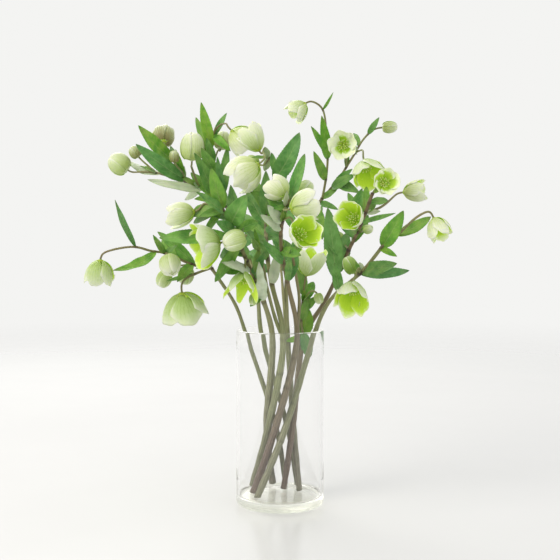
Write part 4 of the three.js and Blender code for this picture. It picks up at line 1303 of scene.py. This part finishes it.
# %% [markdown]
# ## Stalks and limbs
#
# A stem is one stalk with limbs that fork from it, and each limb is rooted on the nearest line that
# has already grown. Where something leaves, the stem swells and its skin darkens to a joint. The
# lines come first, so that every joint is known before any skin is drawn over it.

# %% Growing a stem
WAIST_HEIGHT = 84 * MM
WAIST_RADIUS = 16
FOOT_GAP = 0.6 * MM
STALK_TOP_RADIUS = 1.9 * MM
LIMB_RADIUS = 1.6 * MM
PEDICEL_RADIUS = 1.1 * MM
SHOOT_RADII = (2.2 * MM, 1.3 * MM)
SHOOT_BRACTS = 3
STALK_STEP = 3 * MM
STALK_EASING = 50  # rounds of smoothing, which take the kink out of a stalk at the mouth
STALK_THINS = (0.25, 0.9)  # shares of the stalk's length between which it thins
STALK_SIDES = 18
STALK_BLUSH = 0.4
LIMB_STEP = 1.8 * MM
LIMB_EASING = 16
LIMB_SIDES = 9
JOINT_SPREAD = 2.6 * MM  # how far a joint's swelling reaches along the stem
JOINT_SWELL = 0.25
LEAF_JOINT = 0.6  # how strong a joint is, where a limb's is 1
SHOOT_JOINT = 0.3
BRANCH_YOUTH = 0.35  # from 0 for the skin of an old stalk to 1 for the youngest
PEDICEL_YOUTH = 0.8
SHOOT_YOUTH = 0.2
CUT_FACE = 0.86  # radius of a cut foot's face, as a share of the foot's
CUT_SLANT = (0.5, 1.6)
SCARS = 2


class Limb:
    """A stalk, branch or flower stalk: its line, its girth and the joints on it."""

    def __init__(self, line, radius, youth):
        self.line = line
        steps = np.linalg.norm(np.diff(line, axis=0), axis=1)
        self.gone = np.concatenate([[0], np.cumsum(steps)])
        self.radius = radius
        self.youth = youth
        self.joints = []

    def near(self, spot):
        away = np.linalg.norm(self.line - spot, axis=1)
        best = int(np.argmin(away))
        return away[best], best

    def scar(self, count):
        """Marks rings where leaves once were, on the lower half."""
        for at in rng.choice(np.arange(4, len(self.line) // 2), count, replace=False):
            self.joints.append((int(at), rng.uniform(0.2, 0.55)))

    def draw(self, shape, sides, blush, slant=0):
        joint = np.zeros(len(self.line))
        for at, strength in self.joints:
            swell = strength * np.exp(-(((self.gone - self.gone[at]) / JOINT_SPREAD) ** 2))
            joint = np.maximum(joint, swell)
        radius = self.radius * (1 + JOINT_SWELL * joint)
        radius = radius * (1 + 0.04 * np.sin(self.gone / MM * 0.21 + rng.uniform(0, 6)))
        lie = threes(0, self.gone / self.gone[-1], joint)
        habit = (self.youth, blush, rng.random())
        if slant:
            face = self.line[0] + unit(self.line[1] - self.line[0]) * 0.05 * MM
            line = np.vstack([self.line[:1], face, self.line[1:]])
            radius = np.concatenate([[radius[0] * CUT_FACE], radius])
            lie = np.vstack([(0, 0, -1), lie])
            tube(shape, line, radius, sides, lie, habit, 0, slant)
        else:
            tube(shape, self.line, radius, sides, lie, habit)


def root_on(limbs, spot, strength=1.0):
    """The point of the limbs so far nearest to a spot. A joint is marked there."""
    nearest = min(range(len(limbs)), key=lambda k: limbs[k].near(spot)[0])
    at = limbs[nearest].near(spot)[1]
    limbs[nearest].joints.append((at, strength))
    return limbs[nearest].line[at]


def eased(line, rounds):
    """A line with its kinks smoothed out, between the same two ends."""
    for _ in range(rounds):
        line[1:-1] = line[1:-1] / 2 + (line[:-2] + line[2:]) / 4
    return line


def stalk_line(stem):
    end = in_vase(*stem.foot, VASE_FLOOR)
    middle = in_vase(stem.waist, WAIST_RADIUS, WAIST_HEIGHT)
    slant = np.hypot(*(middle - end)[:2]) / np.linalg.norm(middle - end)
    end[2] += FOOT_GAP + stem.girth * MM * slant
    points = [end, middle, in_vase(*stem.mouth, VASE_HEIGHT), *map(placed, stem.stalk)]
    return eased(smooth_line(points, STALK_STEP), STALK_EASING)


def stalk_taper(girth, line):
    """A stalk's radius along its line. It keeps its girth at first and thins slowly higher up."""
    low, high = STALK_THINS
    share = ((np.linspace(0, 1, len(line)) - low) / (high - low)).clip(0, 1)
    return girth + (STALK_TOP_RADIUS - girth) * share**2 * (3 - 2 * share)


# %% Bracts
BRACT_LENGTHS = (14, 27)
BRACT_WIDTHS = (5, 9)
BRACT_TRIES = 12

FLOWER_ROOM = [
    (placed(bloom.centre), max(bloom.radius, bloom.length / 2) * MM * reach_of(bloom.centre))
    for stem in STEMS
    for _, bloom in stem.limbs
]


def clear_of_flowers(spot):
    return all(np.linalg.norm(spot - centre) > room for centre, room in FLOWER_ROOM)


def grow_bracts(foliage, root, way, count):
    """Small leaves round a place on a limb, pointing clear of the flowers."""
    for _ in range(BRACT_TRIES):
        lean = unit(way + rng.normal(0, 0.6, 3) + (0, 0, 0.3))
        length = rng.uniform(*BRACT_LENGTHS) * MM
        tip = root + lean * length
        turn, bow, width = rng.uniform(-50, 50), rng.uniform(0.05, 0.2), rng.uniform(*BRACT_WIDTHS)
        habit = (rng.uniform(0, 0.9), rng.uniform(0, 0.5), rng.random())
        pale = rng.random() < 0.25
        if clear_of_flowers(tip) and clear_of_flowers(root * 0.4 + tip * 0.6):
            leaf_blade(foliage, root, tip, width * MM, turn, bow, 0, habit, pale)
            count -= 1
        if count <= 0:
            break


# %% Planting the bunch
def plant(stem):
    stalk = stalk_line(stem)
    limbs = [Limb(stalk, stalk_taper(stem.girth * MM, stalk), 0.0)]
    rim_room = np.hypot(*limbs[0].line[:, :2].T) + limbs[0].radius
    rim_room = (VASE_RADIUS - VASE_WALL) - rim_room[limbs[0].line[:, 2] < VASE_HEIGHT].max()
    print(stem.name, "stands", round(rim_room / MM, 2), "mm clear of the wall")
    for path, bloom in stem.limbs:
        first, *rest = map(placed, path)
        root = root_on(limbs, first)
        line = eased(smooth_line([root, *rest, *seat_of(bloom)[2]], LIMB_STEP), LIMB_EASING)
        branch = len(path) > 2
        start = LIMB_RADIUS if branch else PEDICEL_RADIUS
        radius = np.linspace(start, PEDICEL_RADIUS, len(line))
        limbs.append(Limb(line, radius, BRANCH_YOUTH if branch else PEDICEL_YOUTH))

    foliage = Shape()
    for leaf in stem.leaves:
        root, tip = root_on(limbs, placed(leaf.root), LEAF_JOINT), placed(leaf.tip)
        shade = rng.uniform(0.1, 0.9) if leaf.shade is None else leaf.shade
        habit = (0 if leaf.pale else shade, rng.uniform(0, 0.25), rng.random())
        width = leaf.width * LEAF_BREADTH * MM
        bent = (leaf.turn, leaf.bow, leaf.teeth)
        leaf_blade(foliage, root, tip, width, *bent, habit, leaf.pale, leaf.sag)
    for limb in limbs[1:]:
        grow_bracts(foliage, limb.line[0], unit(limb.line[3] - limb.line[0]), rng.integers(1, 3))
    for path in stem.shoots:
        first, *rest = map(placed, path)
        line = smooth_line([root_on(limbs, first, SHOOT_JOINT), *rest], LIMB_STEP)
        limbs.append(Limb(line, np.linspace(*SHOOT_RADII, len(line)), SHOOT_YOUTH))
        grow_bracts(foliage, line[-1], unit(line[-1] - line[-3]), SHOOT_BRACTS)
    foliage.piece("leaves_" + stem.name, [LEAF_SKIN], "greenery", "leafy_stem_" + stem.name)

    wood = Shape()
    limbs[0].scar(SCARS)
    limbs[0].draw(wood, STALK_SIDES, STALK_BLUSH, rng.uniform(*CUT_SLANT))
    for limb in limbs[1:]:
        limb.draw(wood, LIMB_SIDES, rng.uniform(0.1, 0.9))
    wood.piece("stem_" + stem.name, [STEM_SKIN], "greenery", "leafy_stem_" + stem.name)

    for number, (_, bloom) in enumerate(stem.limbs, 1):
        flower = Shape()
        is_open = isinstance(bloom, Open)
        (open_flower if is_open else bud)(flower, bloom)
        node = f"{'bloom' if is_open else 'bud'}_{stem.name}_{number}"
        finishes = [TEPAL_SKIN, FLOWER_HEART] if is_open else [TEPAL_SKIN]
        flower.piece(node + "_tepals", finishes, "tepals", node)
    print(stem.name, "has", len(limbs) - 1, "limbs and", len(stem.leaves), "leaves")


for stem in STEMS:
    plant(stem)

# %% [markdown]
# ## The table and the light
#
# A pale, slightly glossy table runs out on every side and fades away before its edge, so that no
# horizon cuts the picture from any side. The room behind is bright, as a window wall is, but it
# lights the bunch with less than the camera sees, which keeps shadows between the leaves. One broad
# lamp on the upper left models the flowers, a weak one on the right fills their shadows, and one
# behind lights the edges of the tepals.

# %% Table top
TABLE_REACH = 4.0
TABLE_FADE = (0.7, 2.6)


def table_finish():
    finish, skin, place = new_finish("table top")
    cloud = spots(place, 3, 3)
    looks = {
        "Base Color": cloud.tint(paint("dbdbdc"), paint("e0e0e1")),
        "Roughness": cloud * 0.1 + 0.16,
        "Specular IOR Level": 0.4,
    }
    plug(skin, looks)
    away = place.node("ShaderNodeVectorMath", {"operation": "LENGTH"}, {0: place}, "Value")
    clear = place.node("ShaderNodeBsdfTransparent")
    mix_in(finish, skin, away.rise(*TABLE_FADE), clear)
    return finish


table_mesh = bpy.data.meshes.new("table")
corners = [(x * TABLE_REACH, y * TABLE_REACH, 0) for x, y in ((-1, -1), (1, -1), (1, 1), (-1, 1))]
table_mesh.from_pydata(corners, [], [(0, 1, 2, 3)])
table_mesh.materials.append(told(table_finish()))
table = bpy.data.objects.new("table", table_mesh)
bpy.context.scene.collection.objects.link(table)

# %% Room glow and lamps
GLOW_SEEN = 0.92
GLOW_FELT = 0.74

room = bpy.data.worlds.new("room")
room.use_nodes = True
bpy.context.scene.world = room
sky = room.node_tree.nodes["Background"]
sky.inputs["Color"].default_value = paint("fdfdfb")
straight = Wire(room.node_tree.nodes.new("ShaderNodeLightPath").outputs["Is Camera Ray"])
through = straight.node("ShaderNodeLightPath", output="Is Transmission Ray")
mirrored = straight.node("ShaderNodeLightPath", output="Is Glossy Ray")
seen = straight.or_any(through, mirrored)
plug(sky, {"Strength": seen * (GLOW_SEEN - GLOW_FELT) + GLOW_FELT})


def lamp(name, place, aim, size, power, color):
    """A square soft lamp at a place, turned to its aim."""
    light = bpy.data.lights.new(name, "AREA")
    light.size = size
    light.energy = power
    light.color = color[:3]
    holder = bpy.data.objects.new(name, light)
    holder.location = place
    toward = Vector(aim) - Vector(place)
    holder.rotation_euler = toward.to_track_quat("-Z", "Y").to_euler()
    bpy.context.scene.collection.objects.link(holder)
    print("lamp:", name, power, "W")
    return holder


MIDDLE = (0, 0, 0.3)
lamp("window left", (-1.3, -1.0, 1.5), MIDDLE, 0.9, 20, paint("fffaf0"))
fill = lamp("fill right", (1.4, -0.9, 0.8), MIDDLE, 1.3, 5, paint("f6faff"))
fill.visible_glossy = False  # or the table mirrors it as a bright square from the left
lamp("window behind", (-0.6, 1.4, 1.4), MIDDLE, 1.0, 16, paint("fffdf6"))
bpy.context.scene.view_settings.view_transform = "Standard"
